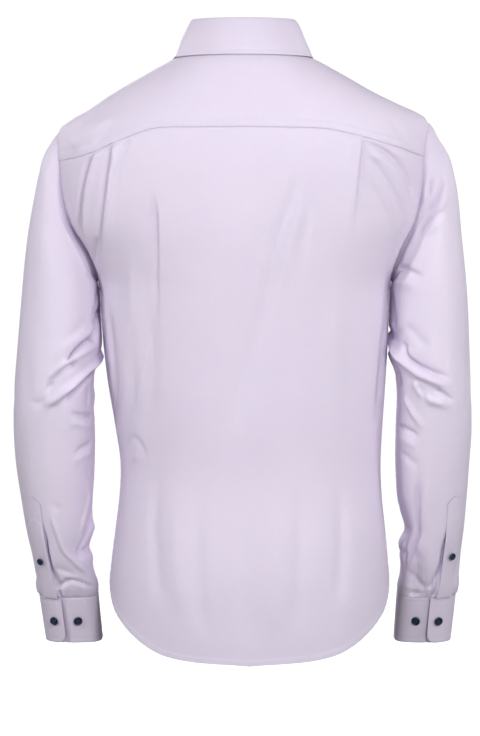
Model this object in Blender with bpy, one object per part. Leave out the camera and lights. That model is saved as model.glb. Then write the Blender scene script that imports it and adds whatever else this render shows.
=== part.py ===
"""A long sleeve dress shirt, standing in the form it takes on a wearer, arms down.

Metres, +Z up.  The front of the shirt faces -Y, its back faces +Y, and the
wearer's left is +X.  The origin is the middle of the neck opening, at the level
of the neckline seam on the shoulders.

The torso cloth is one smooth form, body(angle, level): rings read from BODY,
angle 0 at the centre back, +90 degrees on the wearer's left side and 180 at
the centre front.  Back, yoke and fronts are regions of that form, bounded by
the neckline, yoke seams, armholes, side seams, front edges and hem.  Each
sleeve is a tube lofted from its armhole through the rings of SLEEVES.  Every
panel is a wall of WALL thickness behind its outer face, and panels keep 0.6 mm
between them at the seams.
"""

import math

import bpy
import numpy as np

# ------------------------------------------------------------------ sizes
WALL = 0.0016          # cloth wall of a single ply panel
PLY = 0.0020           # collar, cuffs and band: two plies and an interlining
EDGE = 0.0003          # what each piece gives up at a seam
SHOULDER_DROP = 0.005  # the left shoulder sits this much lower, the right one higher
BAND_W = 0.034         # width of the front band
UNDER = 0.0022         # how far the right front sinks to pass under the band
YOKE_FRONT = 112.0     # angle of the front yoke seam, degrees round the neck
BUTTON_R = 0.0057      # 18 line shirt button
SMALL_BUTTON_R = 0.0046
BUTTON_T = 0.0026
LILAC = (0.70, 0.64, 0.80)
NAVY = (0.012, 0.028, 0.065)

# how many steps the edges of the panels are cut into
STEPS = {"arm_yoke": 8, "arm_back": 6, "arm_front": 7, "side": 12, "neck": 3}
YOKE_ROWS = (0.0, 0.2, 0.42, 0.62, 0.82, 1.0)   # from the neckline to the armhole
BACK_COLUMNS = (-1.0, -0.90, -0.78, -0.70, -0.62, -0.50, -0.34, -0.17, 0.0,
                0.17, 0.34, 0.50, 0.62, 0.71, 0.80, 0.90, 1.0)
SLEEVE_ROWS = (0, 1, 2, 3, 4, 5, 5.7, 6.3, 6.9, 7.5, 8.2, 9, 10, 11, 12, 13, 14, 15)

# ------------------------------------------------------------------ tables
BODY_COLUMNS = ("name", "half_w", "x_mid", "z_side", "y_side", "y_back",
                "z_back", "y_front", "z_front", "square")
BODY = (
    ("neckline",     0.0700,  0.0000,  0.0030,  0.000, 0.0600,  0.010, -0.0580, -0.066, 2.00),
    ("collar_edge",  0.0920,  0.0000, -0.0045,  0.001, 0.0825, -0.004, -0.0760, -0.088, 2.05),
    ("shoulder_1",   0.1220,  0.0000, -0.0205,  0.003, 0.0945, -0.026, -0.0890, -0.110, 2.10),
    ("shoulder_2",   0.1580,  0.0000, -0.0402,  0.005, 0.1035, -0.052, -0.1000, -0.131, 2.15),
    ("shoulder_3",   0.1950,  0.0010, -0.0610,  0.006, 0.1105, -0.078, -0.1095, -0.150, 2.20),
    ("shoulder_4",   0.2215,  0.0020, -0.0780,  0.006, 0.1155, -0.102, -0.1175, -0.168, 2.25),
    ("shoulder_tip", 0.2330,  0.0020, -0.0980,  0.005, 0.1190, -0.127, -0.1230, -0.187, 2.30),
    ("sleeve_head",  0.2368,  0.0020, -0.1300,  0.003, 0.1205, -0.153, -0.1265, -0.206, 2.35),
    ("armhole_mid",  0.2372,  0.0015, -0.1710,  0.000, 0.1205, -0.183, -0.1290, -0.226, 2.35),
    ("armhole_low",  0.2280,  0.0005, -0.2120, -0.002, 0.1195, -0.217, -0.1300, -0.248, 2.35),
    ("armhole_base", 0.2050, -0.0010, -0.2520, -0.004, 0.1165, -0.253, -0.1290, -0.272, 2.35),
    ("underarm",     0.1880, -0.0020, -0.2880, -0.005, 0.1125, -0.289, -0.1270, -0.299, 2.35),
    ("chest",        0.1858, -0.0025, -0.3300, -0.006, 0.1080, -0.330, -0.1240, -0.335, 2.35),
    ("rib",          0.1832, -0.0035, -0.3740, -0.007, 0.1030, -0.374, -0.1210, -0.376, 2.35),
    ("midriff",      0.1792, -0.0050, -0.4220, -0.009, 0.0978, -0.422, -0.1170, -0.422, 2.35),
    ("waist_high",   0.1735, -0.0075, -0.4720, -0.011, 0.0932, -0.472, -0.1130, -0.472, 2.30),
    ("waist",        0.1688, -0.0098, -0.5220, -0.012, 0.0905, -0.522, -0.1100, -0.522, 2.30),
    ("belt",         0.1702, -0.0100, -0.5660, -0.011, 0.0945, -0.566, -0.1100, -0.566, 2.30),
    ("hip_high",     0.1755, -0.0095, -0.6140, -0.008, 0.1025, -0.614, -0.1120, -0.614, 2.30),
    ("hip",          0.1810, -0.0085, -0.6680, -0.005, 0.1095, -0.668, -0.1140, -0.668, 2.30),
    ("tail",         0.1840, -0.0080, -0.7270, -0.004, 0.1130, -0.727, -0.1145, -0.727, 2.30),
    ("hem",          0.1855, -0.0080, -0.7900, -0.004, 0.1145, -0.790, -0.1145, -0.790, 2.30),
)

ARMHOLE = {"y_mid": -0.003, "z_mid": -0.1900, "back": 0.0475, "front": 0.0560,
           "half_h": 0.0980, "square": 2.25}

# seam between the yoke and the back, at the wearer's left (+) and right (-)
YOKE_COLUMNS = ("name", "x", "z")
YOKE_SEAM = (
    ("right_armhole", -0.2262, -0.1275),
    ("right_outer",   -0.1960, -0.1172),
    ("right_pleat",   -0.1500, -0.1045),
    ("right_inner",   -0.1050, -0.0950),
    ("centre_right",  -0.0500, -0.0930),
    ("centre",         0.0000, -0.0922),
    ("centre_left",    0.0550, -0.0928),
    ("left_inner",     0.1120, -0.0945),
    ("left_pleat",     0.1600, -0.1110),
    ("left_outer",     0.1950, -0.1255),
    ("left_armhole",   0.2260, -0.1325),
)

# hem level by angle from the centre back: tail behind, high at the side seams
HEM_COLUMNS = ("name", "angle", "z")
HEM = (
    ("centre_back",   0.0, -0.768),
    ("back_quarter", 35.0, -0.757),
    ("back_side",    65.0, -0.712),
    ("side_seam",    90.0, -0.672),
    ("front_side",  115.0, -0.700),
    ("front_quarter", 145.0, -0.738),
    ("centre_front", 180.0, -0.745),
)

# rings of a sleeve below the armhole seam; x is outwards from the centre line
RING_COLUMNS = ("name", "x_out", "z_out", "x_in", "z_in", "y_mid", "back", "front")
SLEEVES = {
    "left": (
        ("head_1",    0.2531, -0.1210, 0.1905, -0.2900, -0.0020, 0.0525, 0.0570),
        ("head_2",    0.2621, -0.1520, 0.1900, -0.2925, -0.0010, 0.0565, 0.0595),
        ("head_3",    0.2692, -0.1860, 0.1895, -0.2980,  0.0000, 0.0595, 0.0610),
        ("biceps_1",  0.2755, -0.2220, 0.1890, -0.3070,  0.0010, 0.0610, 0.0615),
        ("biceps_2",  0.2812, -0.2660, 0.1887, -0.3220,  0.0020, 0.0610, 0.0605),
        ("biceps_3",  0.2858, -0.3180, 0.1886, -0.3470,  0.0040, 0.0600, 0.0585),
        ("elbow_1",   0.2908, -0.3750, 0.1908, -0.3850,  0.0060, 0.0590, 0.0560),
        ("elbow_2",   0.2953, -0.4300, 0.1940, -0.4320,  0.0050, 0.0580, 0.0545),
        ("forearm_1", 0.2965, -0.4800, 0.1925, -0.4790,  0.0010, 0.0555, 0.0530),
        ("forearm_2", 0.2943, -0.5250, 0.1935, -0.5240, -0.0050, 0.0535, 0.0515),
        ("forearm_3", 0.2890, -0.5680, 0.1955, -0.5670, -0.0120, 0.0510, 0.0495),
        ("forearm_4", 0.2834, -0.6080, 0.1955, -0.6070, -0.0195, 0.0490, 0.0475),
        ("wrist_1",   0.2772, -0.6430, 0.1950, -0.6420, -0.0268, 0.0465, 0.0450),
        ("wrist_2",   0.2718, -0.6760, 0.1925, -0.6755, -0.0342, 0.0430, 0.0415),
        ("cuff_seam", 0.2682, -0.6995, 0.1913, -0.6995, -0.0398, 0.0390, 0.0380),
    ),
    "right": (
        ("head_1",    0.2600, -0.1190, 0.1952, -0.2895, -0.0020, 0.0525, 0.0570),
        ("head_2",    0.2711, -0.1520, 0.1945, -0.2920, -0.0010, 0.0565, 0.0595),
        ("head_3",    0.2767, -0.1860, 0.1938, -0.2970,  0.0000, 0.0595, 0.0610),
        ("biceps_1",  0.2802, -0.2220, 0.1932, -0.3060,  0.0010, 0.0610, 0.0615),
        ("biceps_2",  0.2851, -0.2660, 0.1926, -0.3210,  0.0020, 0.0610, 0.0605),
        ("biceps_3",  0.2894, -0.3180, 0.1920, -0.3460,  0.0040, 0.0600, 0.0585),
        ("elbow_1",   0.2916, -0.3750, 0.1940, -0.3830,  0.0060, 0.0590, 0.0560),
        ("elbow_2",   0.2940, -0.4300, 0.1990, -0.4310,  0.0050, 0.0580, 0.0545),
        ("forearm_1", 0.2952, -0.4800, 0.1982, -0.4790,  0.0010, 0.0555, 0.0530),
        ("forearm_2", 0.2931, -0.5250, 0.1985, -0.5240, -0.0050, 0.0535, 0.0515),
        ("forearm_3", 0.2912, -0.5680, 0.2008, -0.5670, -0.0120, 0.0510, 0.0495),
        ("forearm_4", 0.2889, -0.6080, 0.2025, -0.6070, -0.0195, 0.0490, 0.0475),
        ("wrist_1",   0.2858, -0.6430, 0.2032, -0.6420, -0.0268, 0.0465, 0.0450),
        ("wrist_2",   0.2836, -0.6760, 0.2038, -0.6755, -0.0342, 0.0430, 0.0415),
        ("cuff_seam", 0.2806, -0.6995, 0.2035, -0.6995, -0.0398, 0.0390, 0.0380),
    ),
}

# two rings of a cuff's own base, under its free flap
CUFFS = {
    "left": (
        ("top",    0.2663, -0.7003, 0.1915, -0.7003, -0.0402, 0.0385, 0.0380),
        ("bottom", 0.2589, -0.7625, 0.1865, -0.7625, -0.0535, 0.0360, 0.0355),
    ),
    "right": (
        ("top",    0.2787, -0.7003, 0.2037, -0.7003, -0.0402, 0.0385, 0.0380),
        ("bottom", 0.2736, -0.7625, 0.2005, -0.7625, -0.0535, 0.0360, 0.0355),
    ),
}
# a cuff closes behind: angles, in degrees from its outer side, of the free
# edge of the flap and of the two buttons
LAP_COLUMNS = ("name", "edge", "flap_button", "spare_button")
LAPS = {"left": ("left", 78.0, 59.5, 105.0), "right": ("right", 86.0, 67.0, 109.5)}
LAP = {"under": 42.0, "blend": 60.0, "lift": 0.0026}
# the placket of the sleeve opening, above the flap's free edge
PLACKET_COLUMNS = ("name", "edge_top", "edge_cuff", "button_ring")
PLACKETS = {"left": ("left", 67.0, 75.0, 13.20), "right": ("right", 68.5, 78.0, 13.00)}
PLACKET = {"width": 0.025, "top_ring": 10.90, "lift": 0.0006, "thick": 0.0012}

# half of the collar leaf, from the centre back to a point: angle round the
# stand's top, then angle and level on the body under the free edge
COLLAR_COLUMNS = ("name", "at", "top_angle", "edge_angle", "edge_level", "lift")
COLLAR = (
    ("centre_back", 0.00,   0.0,   0.0, 0.90, 0.0034),
    ("back",        0.17,  30.0,  30.0, 0.90, 0.0034),
    ("back_side",   0.34,  60.0,  60.0, 0.89, 0.0034),
    ("side",        0.50,  88.0,  89.0, 0.88, 0.0034),
    ("front_side",  0.67, 118.0, 114.0, 1.22, 0.0036),
    ("front",       0.84, 148.0, 138.0, 1.62, 0.0040),
    ("point",       1.00, 173.0, 157.5, 2.00, 0.0044),
)
STAND = {"half_w": 0.0625, "x_mid": 0.0012, "z_side": 0.0430, "y_side": -0.004, "y_back": 0.0515,
         "z_back": 0.0425, "y_front": -0.0610, "z_front": -0.0345}
STAND_ENDS = 187.0     # both ends pass the centre front by 7 degrees

# largest folds: a ridge (+) or trough (-) through three points, on the back in
# x and z, on a sleeve in degrees round from the outer side and z
FOLD_COLUMNS = ("name", "s0", "z0", "s1", "z1", "s2", "z2", "height", "width")
FOLDS = {
    "back": (
        ("left_pleat",   0.1634, -0.112, 0.1710, -0.165, 0.1776, -0.240, 0.0018, 0.0120),
        ("right_pleat", -0.1497, -0.104, -0.1440, -0.165, -0.1374, -0.235, 0.0016, 0.0120),
        ("left_drag",    0.1080, -0.180, 0.1070, -0.320, 0.1080, -0.480, 0.0016, 0.0130),
        ("right_drag",  -0.0700, -0.165, -0.0350, -0.320, 0.0250, -0.490, -0.0018, 0.0140),
    ),
    "left": (
        ("elbow_ridge",  200.0, -0.372, 120.0, -0.410,  52.0, -0.452,  0.0045, 0.0105),
        ("elbow_trough", 178.0, -0.350, 112.0, -0.368,  62.0, -0.425, -0.0030, 0.0085),
    ),
    "right": (
        ("elbow_ridge",  200.0, -0.365, 128.0, -0.400,  66.0, -0.425,  0.0045, 0.0105),
        ("elbow_trough", 190.0, -0.398, 130.0, -0.430,  84.0, -0.462, -0.0030, 0.0085),
    ),
}

BUTTON_COLUMNS = ("name", "z")
FRONT_BUTTONS = (
    ("button_2", -0.146), ("button_3", -0.232), ("button_4", -0.318),
    ("button_5", -0.404), ("button_6", -0.490), ("button_7", -0.576),
    ("button_8", -0.655),
)


# ------------------------------------------------------------------ curves
def column(rows, columns, name):
    i = columns.index(name)
    return np.array([row[i] for row in rows], float)


def spline(t, values):
    """A smooth curve through values at t = 0, 1, 2 ..."""
    values = np.asarray(values, float)
    last = len(values) - 1
    t = np.clip(np.asarray(t, float), 0.0, last)
    i = np.minimum(t.astype(int), last - 1)
    f = t - i
    slope = np.gradient(values, axis=0)
    a, b, m, n = values[i], values[i + 1], slope[i], slope[i + 1]
    if values.ndim > 1:
        f = f.reshape(f.shape + (1,) * (values.ndim - 1))
    return ((2 * f**3 - 3 * f**2 + 1) * a + (f**3 - 2 * f**2 + f) * m
            + (3 * f**2 - 2 * f**3) * b + (f**3 - f**2) * n)


def spline_at(x, keys, values):
    """The same through values at rising keys."""
    return spline(np.interp(x, keys, np.arange(len(keys))), values)


def ease(t):
    t = np.clip(t, 0.0, 1.0)
    return t * t * (3 - 2 * t)


def oval(angle, square):
    """Sine and cosine of a squared-off circle."""
    s, c = np.sin(angle), np.cos(angle)
    r = (np.abs(s) ** square + np.abs(c) ** square) ** (-1.0 / square)
    return s * r, c * r


def unit(v):
    return v / np.maximum(np.linalg.norm(v, axis=-1, keepdims=True), 1e-12)


BODY_FIELD = {n: column(BODY, BODY_COLUMNS, n) for n in BODY_COLUMNS[1:]}
LAST = len(BODY) - 1.0
NAMES = [row[0] for row in BODY]


def shoulder_drop(x, level):
    fade = 1 - ease((level - NAMES.index("shoulder_tip"))
                    / (NAMES.index("underarm") - NAMES.index("shoulder_tip")))
    return SHOULDER_DROP * np.sign(x) * np.minimum(np.abs(x) / 0.224, 1.05) ** 3 * fade


def body(angle, level):
    """Outer face of the torso cloth. angle in radians, level along BODY."""
    angle, level = np.broadcast_arrays(np.asarray(angle, float), np.asarray(level, float))
    f = {n: spline(level, v) for n, v in BODY_FIELD.items()}
    s, c = oval(angle, f["square"])
    behind = np.cos(angle) >= 0
    depth = np.where(behind, f["y_back"] - f["y_side"], f["y_side"] - f["y_front"])
    rise = np.where(behind, f["z_back"] - f["z_side"], f["z_front"] - f["z_side"])
    x = f["half_w"] * s
    y = f["y_side"] + depth * c
    z = f["z_side"] + rise * np.cos(angle) ** 2 - shoulder_drop(x, level)
    return np.stack([x + f["x_mid"], y, z], -1)


def body_normal(angle, level, h=1e-3):
    """Unit normal of the form, pointing out."""
    level = np.clip(level, h, LAST - h)
    da = body(angle + h, level) - body(angle - h, level)
    dl = body(angle, level + h) - body(angle, level - h)
    return unit(np.cross(da, dl))


def solve(target, axes, angle, level, rounds=30):
    """Angle and level where the form has the target's two coordinates."""
    angle, level = np.array(angle, float), np.array(level, float)
    h = 1e-4
    for _ in range(rounds):
        miss = body(angle, level)[..., axes] - target
        ja = (body(angle + h, level)[..., axes] - body(angle - h, level)[..., axes]) / (2 * h)
        jl = (body(angle, level + h)[..., axes] - body(angle, level - h)[..., axes]) / (2 * h)
        det = ja[..., 0] * jl[..., 1] - ja[..., 1] * jl[..., 0]
        da = (miss[..., 0] * jl[..., 1] - miss[..., 1] * jl[..., 0]) / det
        dl = (ja[..., 0] * miss[..., 1] - ja[..., 1] * miss[..., 0]) / det
        angle = angle - np.clip(da, -0.15, 0.15)
        level = np.clip(level - np.clip(dl, -0.6, 0.6), 0.0, LAST)
    return angle, level


# ------------------------------------------------------------------ seams
def armhole(theta, side):
    """(angle, level) round an armhole; theta 0 on the shoulder, 90 degrees behind."""
    s, c = oval(np.asarray(theta, float), ARMHOLE["square"])
    y = ARMHOLE["y_mid"] + s * np.where(s > 0, ARMHOLE["back"], ARMHOLE["front"])
    z = ARMHOLE["z_mid"] - SHOULDER_DROP * side * (1 + c) / 2 + c * ARMHOLE["half_h"]
    level = np.interp(-z, -BODY_FIELD["z_side"][4:13], np.arange(4, 13))
    angle = side * (math.pi / 2 - np.arcsin(np.clip(y / 0.13, -0.8, 0.8)))
    return np.stack(solve(np.stack([y, z], -1), [1, 2], angle, level), -1)


def yoke_seam(x):
    """(angle, level) of the back yoke seam at x."""
    xs = column(YOKE_SEAM, YOKE_COLUMNS, "x")
    z = spline_at(x, xs, column(YOKE_SEAM, YOKE_COLUMNS, "z"))
    start = np.arcsin(np.clip(np.asarray(x) / 0.25, -0.95, 0.95))
    return np.stack(solve(np.stack([x, z], -1), [0, 2], start, 5.0 + 1.5 * np.abs(start)), -1)


def hem_level(angle):
    a = np.degrees(np.abs(angle))
    z = spline_at(a, column(HEM, HEM_COLUMNS, "angle"), column(HEM, HEM_COLUMNS, "z"))
    return np.interp(-z, -BODY_FIELD["z_side"], np.arange(len(BODY)))


def front_angle(side, level, x):
    """Angle where the front of the form is at x from its centre line, towards side."""
    half = spline(level, BODY_FIELD["half_w"])
    square = spline(level, BODY_FIELD["square"])
    t = np.clip(x / half, -0.9, 0.9)
    c = (1 - np.abs(t) ** square) ** (1 / square)
    return side * (math.pi - np.arctan2(t, c))


def even(points, steps):
    """Parameters 0 to 1 that cut a polyline of (angle, level) evenly by its length in space."""
    place = body(points[:, 0], points[:, 1])
    run = np.concatenate([[0], np.cumsum(np.linalg.norm(np.diff(place, axis=0), axis=1))])
    return np.interp(np.linspace(0, run[-1], steps + 1), run, np.linspace(0, 1, len(points)))


def armhole_cuts(side):
    """Thetas that cut an armhole: round the yoke from its front corner to its back
    corner, on down the back to the underarm, and from the front corner to the underarm."""
    theta = np.radians(np.linspace(20, 100, 641))
    end = column(YOKE_SEAM, YOKE_COLUMNS, "z")[-1 if side > 0 else 0]
    at = armhole(theta, side)
    back = theta[np.argmin(np.abs(body(at[:, 0], at[:, 1])[:, 2] - end))]
    theta = np.radians(np.linspace(-90, -10, 641))
    front = theta[np.argmin(np.abs(np.degrees(np.abs(armhole(theta, side)[:, 0])) - YOKE_FRONT))]
    cuts = {}
    for name, a, b in (("yoke", front, back), ("back", back, math.pi), ("front", front, -math.pi)):
        fine = np.linspace(a, b, 90)
        cuts[name] = a + (b - a) * even(armhole(fine, side), STEPS["arm_" + name])
    return cuts


CUTS = {side: armhole_cuts(side) for side in (1, -1)}


def armhole_edge(side, name):
    edge = armhole(CUTS[side][name], side)
    if name != "yoke":
        edge[-1, 0] = side * math.pi / 2
    if name != "back":
        edge[0, 0] = side * math.radians(YOKE_FRONT)
    return edge


def side_seam(side):
    """(angle, level) down the side seam, from the underarm to the hem."""
    top = armhole_edge(side, "back")[-1, 1]
    low = float(hem_level(math.pi / 2))
    fine = np.linspace(top, low, 60)
    at = np.full(60, side * math.pi / 2)
    cut = top + (low - top) * even(np.stack([at, fine], -1), STEPS["side"])
    return np.stack([np.full(len(cut), side * math.pi / 2), cut], -1)


def coons(left, right, top, bottom, u):
    """(angle, level) patch. left and right run down, top and bottom across at fractions u."""
    w = np.linspace(0, 1, len(left))[:, None, None]
    u = u[None, :, None]
    across = (1 - u) * left[:, None] + u * right[:, None]
    down = (1 - w) * top[None] + w * bottom[None]
    corner = ((1 - u) * (1 - w) * top[0] + u * (1 - w) * top[-1]
              + (1 - u) * w * bottom[0] + u * w * bottom[-1])
    return across + down - corner


def yoke_edge_x(u):
    """x of the back yoke seam at fractions u from -1 to 1."""
    ends = [armhole_edge(side, "back")[0] for side in (-1, 1)]
    x0, x1 = (float(body(*e)[0]) for e in ends)
    return x0 + (np.asarray(u) + 1) / 2 * (x1 - x0)


def back_patch():
    """(angle, level) of the back, columns from the wearer's right to left."""
    u = np.array(BACK_COLUMNS)
    ends = [np.concatenate([armhole_edge(side, "back"), side_seam(side)[1:]]) for side in (-1, 1)]
    top = yoke_seam(yoke_edge_x(u))
    top[0], top[-1] = ends[0][0], ends[1][0]
    angle = u * math.pi / 2
    bottom = np.stack([angle, hem_level(angle)], -1)
    return coons(ends[0], ends[1], top, bottom, (u + 1) / 2)


def front_edge(side, x):
    """(angle, level) down a front edge that lies at x from the centre line."""
    rows = len(YOKE_ROWS) - 1 + STEPS["arm_front"] + STEPS["side"]
    low = float(hem_level(math.pi))
    fine = np.linspace(0, low, 120)
    level = low * even(np.stack([front_angle(side, fine, x), fine], -1), rows)
    return np.stack([front_angle(side, level, x), level], -1)


def neck_angles(side, x):
    """Angles of a front's neckline, from its front edge to the yoke seam."""
    own = float(front_angle(side, 0.0, BAND_W / 2))
    cut = np.linspace(own, side * math.radians(YOKE_FRONT), STEPS["neck"] + 1)
    if x < 0:
        cut = np.concatenate([[float(front_angle(side, 0.0, x)), side * math.pi], cut])
    return cut


def front_patch(side, x):
    """(angle, level) of a front, columns from its front edge to its side."""
    corner = armhole_edge(side, "front")[0]
    seam = np.stack([np.full(len(YOKE_ROWS), corner[0]), np.array(YOKE_ROWS) * corner[1]], -1)
    right = np.concatenate([seam, armhole_edge(side, "front")[1:], side_seam(side)[1:]])
    left = front_edge(side, x)
    neck = neck_angles(side, x)
    top = np.stack([neck, np.zeros(len(neck))], -1)
    u = (neck - neck[0]) / (neck[-1] - neck[0])
    angle = left[-1, 0] + u * (side * math.pi / 2 - left[-1, 0])
    bottom = np.stack([angle, hem_level(angle)], -1)
    return coons(left, right, top, bottom, u)


def yoke_patch():
    """(angle, level) of the yoke, columns round from its left front corner to its right one."""
    left, right = (armhole_edge(side, "yoke") for side in (1, -1))
    seam = yoke_seam(yoke_edge_x(np.array(BACK_COLUMNS)[::-1]))
    outer = np.concatenate([left, seam[1:-1], right[::-1]])
    w = np.array(YOKE_ROWS)[:, None, None]
    return np.concatenate([np.broadcast_to(outer[None, :, :1], (len(w), len(outer), 1)),
                           w * outer[None, :, 1:]], -1)


# ------------------------------------------------------------------ folds
def round_table(ratio=0.62, square=2.3):
    """Run round a quarter ring of half width 1, by angle, and its sine."""
    a = np.linspace(0, math.pi / 2, 181)
    s, c = oval(a, square)
    run = np.concatenate([[0], np.cumsum(np.hypot(np.diff(s), np.diff(c * ratio)))])
    return a, run, s


ROUND_A, ROUND_RUN, ROUND_S = round_table()


def spread(angle, level):
    """Distance round the ring from the centre back or front, and z."""
    run = np.interp(np.arcsin(np.abs(np.sin(angle))), ROUND_A, ROUND_RUN)
    return np.sign(np.sin(angle)) * spline(level, BODY_FIELD["half_w"]) * run, body(angle, level)[..., 2]


def spread_x(x, z):
    """The same distance for a point given by x and z."""
    level = np.interp(-z, -BODY_FIELD["z_side"], np.arange(len(BODY)))
    half = spline(level, BODY_FIELD["half_w"])
    t = np.clip((x - spline(level, BODY_FIELD["x_mid"])) / half, -1, 1)
    return np.sign(t) * half * np.interp(np.abs(t), ROUND_S, ROUND_RUN)


def stroke(s, z, ends, height, width):
    """Height of one soft ridge or trough whose line passes three points."""
    t = np.linspace(0, 1, 25)
    a, b, c = ends
    b = 2 * b - (a + c) / 2
    line = ((1 - t) ** 2)[:, None] * a + (2 * t * (1 - t))[:, None] * b + (t**2)[:, None] * c
    d2 = (s[..., None] - line[:, 0]) ** 2 + (z[..., None] - line[:, 1]) ** 2
    i = d2.argmin(-1)
    fade = ease(np.minimum(t[i], 1 - t[i]) / 0.3 + 0.05)
    return height * fade * np.exp(-d2.min(-1) / width**2)


def body_folds(angle, level):
    s, z = spread(angle, level)
    lift = np.zeros(np.shape(s))
    for row in FOLDS["back"]:
        f = dict(zip(FOLD_COLUMNS, row))
        ends = [np.array([float(spread_x(f["s%d" % k], f["z%d" % k])), f["z%d" % k]]) for k in range(3)]
        lift += stroke(s, z, ends, f["height"], f["width"])
    return np.where(np.cos(angle) > 0, lift, 0.0)


# ------------------------------------------------------------------ sleeves
ARM_RADIUS = 0.052     # turns degrees round a sleeve into a distance for its folds


def oval_ring(row, side, theta, square=2.15):
    f = dict(zip(RING_COLUMNS, row))
    top = np.array([side * f["x_out"], f["y_mid"], f["z_out"]])
    low = np.array([side * f["x_in"], f["y_mid"], f["z_in"]])
    s, c = oval(theta, square)
    depth = np.where(s > 0, f["back"], f["front"])
    return (top + low) / 2 + c[:, None] * (top - low) / 2 + (depth * s)[:, None] * np.array([0.0, 1.0, 0.0])


def sleeve(which, theta, ring, clear=0.0):
    """Outer face of a sleeve: grid over ring (rows) and theta (columns). Ring 0 is the
    armhole seam, whose bulge fades into the flat rings below it."""
    side = 1 if which == "left" else -1
    at = armhole(theta, side)
    seam = body(at[:, 0], at[:, 1])
    ends = armhole(np.array([0.0, math.pi]), side)
    top, low = body(ends[:, 0], ends[:, 1])
    plain = oval_ring(("seam", side * top[0], top[2], side * low[0], low[2], ARMHOLE["y_mid"],
                       ARMHOLE["back"], ARMHOLE["front"]), side, theta)
    bulge = seam - plain
    rings = [oval_ring(r, side, theta) for r in SLEEVES[which]]
    for k in range(5):
        rings[k] = rings[k] + bulge * (1 - (k + 1) / 6.0) ** 1.5
    middle = seam.mean(0)
    under = np.clip(-np.cos(theta), 0, 1)[:, None] ** 2
    seam = seam + unit(middle - seam) * clear + body_normal(at[:, 0], at[:, 1]) * (0.0014 * under * (clear > 0))
    grid = spline(np.asarray(ring, float), np.stack([seam] + rings))
    s = np.broadcast_to(np.mod(theta, 2 * math.pi)[None, :] * ARM_RADIUS, grid.shape[:2])
    lift = np.zeros(grid.shape[:2])
    for row in FOLDS[which]:
        f = dict(zip(FOLD_COLUMNS, row))
        ends = [np.array([math.radians(f["s%d" % k]) * ARM_RADIUS, f["z%d" % k]]) for k in range(3)]
        lift += stroke(s, grid[..., 2], ends, f["height"], f["width"])
    return grid, lift


def cuff(which, theta, t):
    """Outer face of the cuff's base surface, t 0 at the top to 1 at the bottom."""
    side = 1 if which == "left" else -1
    ring = [oval_ring(r, side, theta) for r in CUFFS[which]]
    t = np.asarray(t, float)[:, None, None]
    return (1 - t) * ring[0][None] + t * ring[1][None]


# ------------------------------------------------------------------ meshes
def grid_normals(grid, middle, loop=False):
    """Unit normals of a grid, pointing away from middle."""
    down = np.gradient(grid, axis=0)
    if loop:
        across = (np.roll(grid, -1, axis=1) - np.roll(grid, 1, axis=1)) / 2
    else:
        across = np.gradient(grid, axis=1)
    n = unit(np.cross(across, down))
    return n if ((grid - middle) * n).sum(-1).mean() > 0 else -n


def material(name, colour, roughness, metallic=0.0):
    made = bpy.data.materials.get(name) or bpy.data.materials.new(name)
    made.use_nodes = True
    shader = made.node_tree.nodes["Principled BSDF"]
    shader.inputs["Base Color"].default_value = (*colour, 1.0)
    shader.inputs["Roughness"].default_value = roughness
    shader.inputs["Metallic"].default_value = metallic
    return made


def place(name, verts, faces, mat, sharp):
    """Adds a closed mesh, its faces turned out."""
    t = verts[np.array(faces)] - verts.mean(0)
    if np.einsum("ij,ij->i", t[:, 0], np.cross(t[:, 1], t[:, 2])).sum() < 0:
        faces = [(a, c, b) for a, b, c in faces]
    mesh = bpy.data.meshes.new(name)
    mesh.from_pydata([tuple(p) for p in verts], [], faces)
    mesh.update()
    mesh.shade_smooth()
    mesh.set_sharp_from_angle(angle=math.radians(sharp))
    mesh.materials.append(mat)
    made = bpy.data.objects.new(name, mesh)
    bpy.context.scene.collection.objects.link(made)
    return made


def wall(name, outer, inner, mat, loop=False):
    """A closed wall between two grids of the same shape."""
    rows, cols = outer.shape[:2]
    v = np.concatenate([outer.reshape(-1, 3), inner.reshape(-1, 3)])
    n = rows * cols
    span = cols if loop else cols - 1

    def at(i, j, k=0):
        return k * n + i * cols + (j % cols)

    quads = []
    for i in range(rows - 1):
        for j in range(span):
            quads.append((at(i, j), at(i + 1, j), at(i + 1, j + 1), at(i, j + 1)))
            quads.append((at(i, j, 1), at(i, j + 1, 1), at(i + 1, j + 1, 1), at(i + 1, j, 1)))
    for j in range(span):
        quads.append((at(0, j), at(0, j + 1), at(0, j + 1, 1), at(0, j, 1)))
        quads.append((at(rows - 1, j), at(rows - 1, j, 1), at(rows - 1, j + 1, 1), at(rows - 1, j + 1)))
    if not loop:
        for i in range(rows - 1):
            quads.append((at(i, 0), at(i, 0, 1), at(i + 1, 0, 1), at(i + 1, 0)))
            quads.append((at(i, cols - 1), at(i + 1, cols - 1), at(i + 1, cols - 1, 1), at(i, cols - 1, 1)))
    faces = []
    for a, b, c, d in quads:
        if np.linalg.norm(v[a] - v[c]) <= np.linalg.norm(v[b] - v[d]):
            faces += [(a, b, c), (a, c, d)]
        else:
            faces += [(a, b, d), (b, c, d)]
    return place(name, v, faces, mat, 50)


def inset(grid, gap, sides="tblr"):
    """The grid with its border moved inwards along the cloth by gap."""
    g = grid.copy()
    if "t" in sides:
        g[0] += unit(g[1] - g[0]) * gap
    if "b" in sides:
        g[-1] += unit(g[-2] - g[-1]) * gap
    if "l" in sides:
        g[:, 0] += unit(g[:, 1] - g[:, 0]) * gap
    if "r" in sides:
        g[:, -1] += unit(g[:, -2] - g[:, -1]) * gap
    return g


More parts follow.
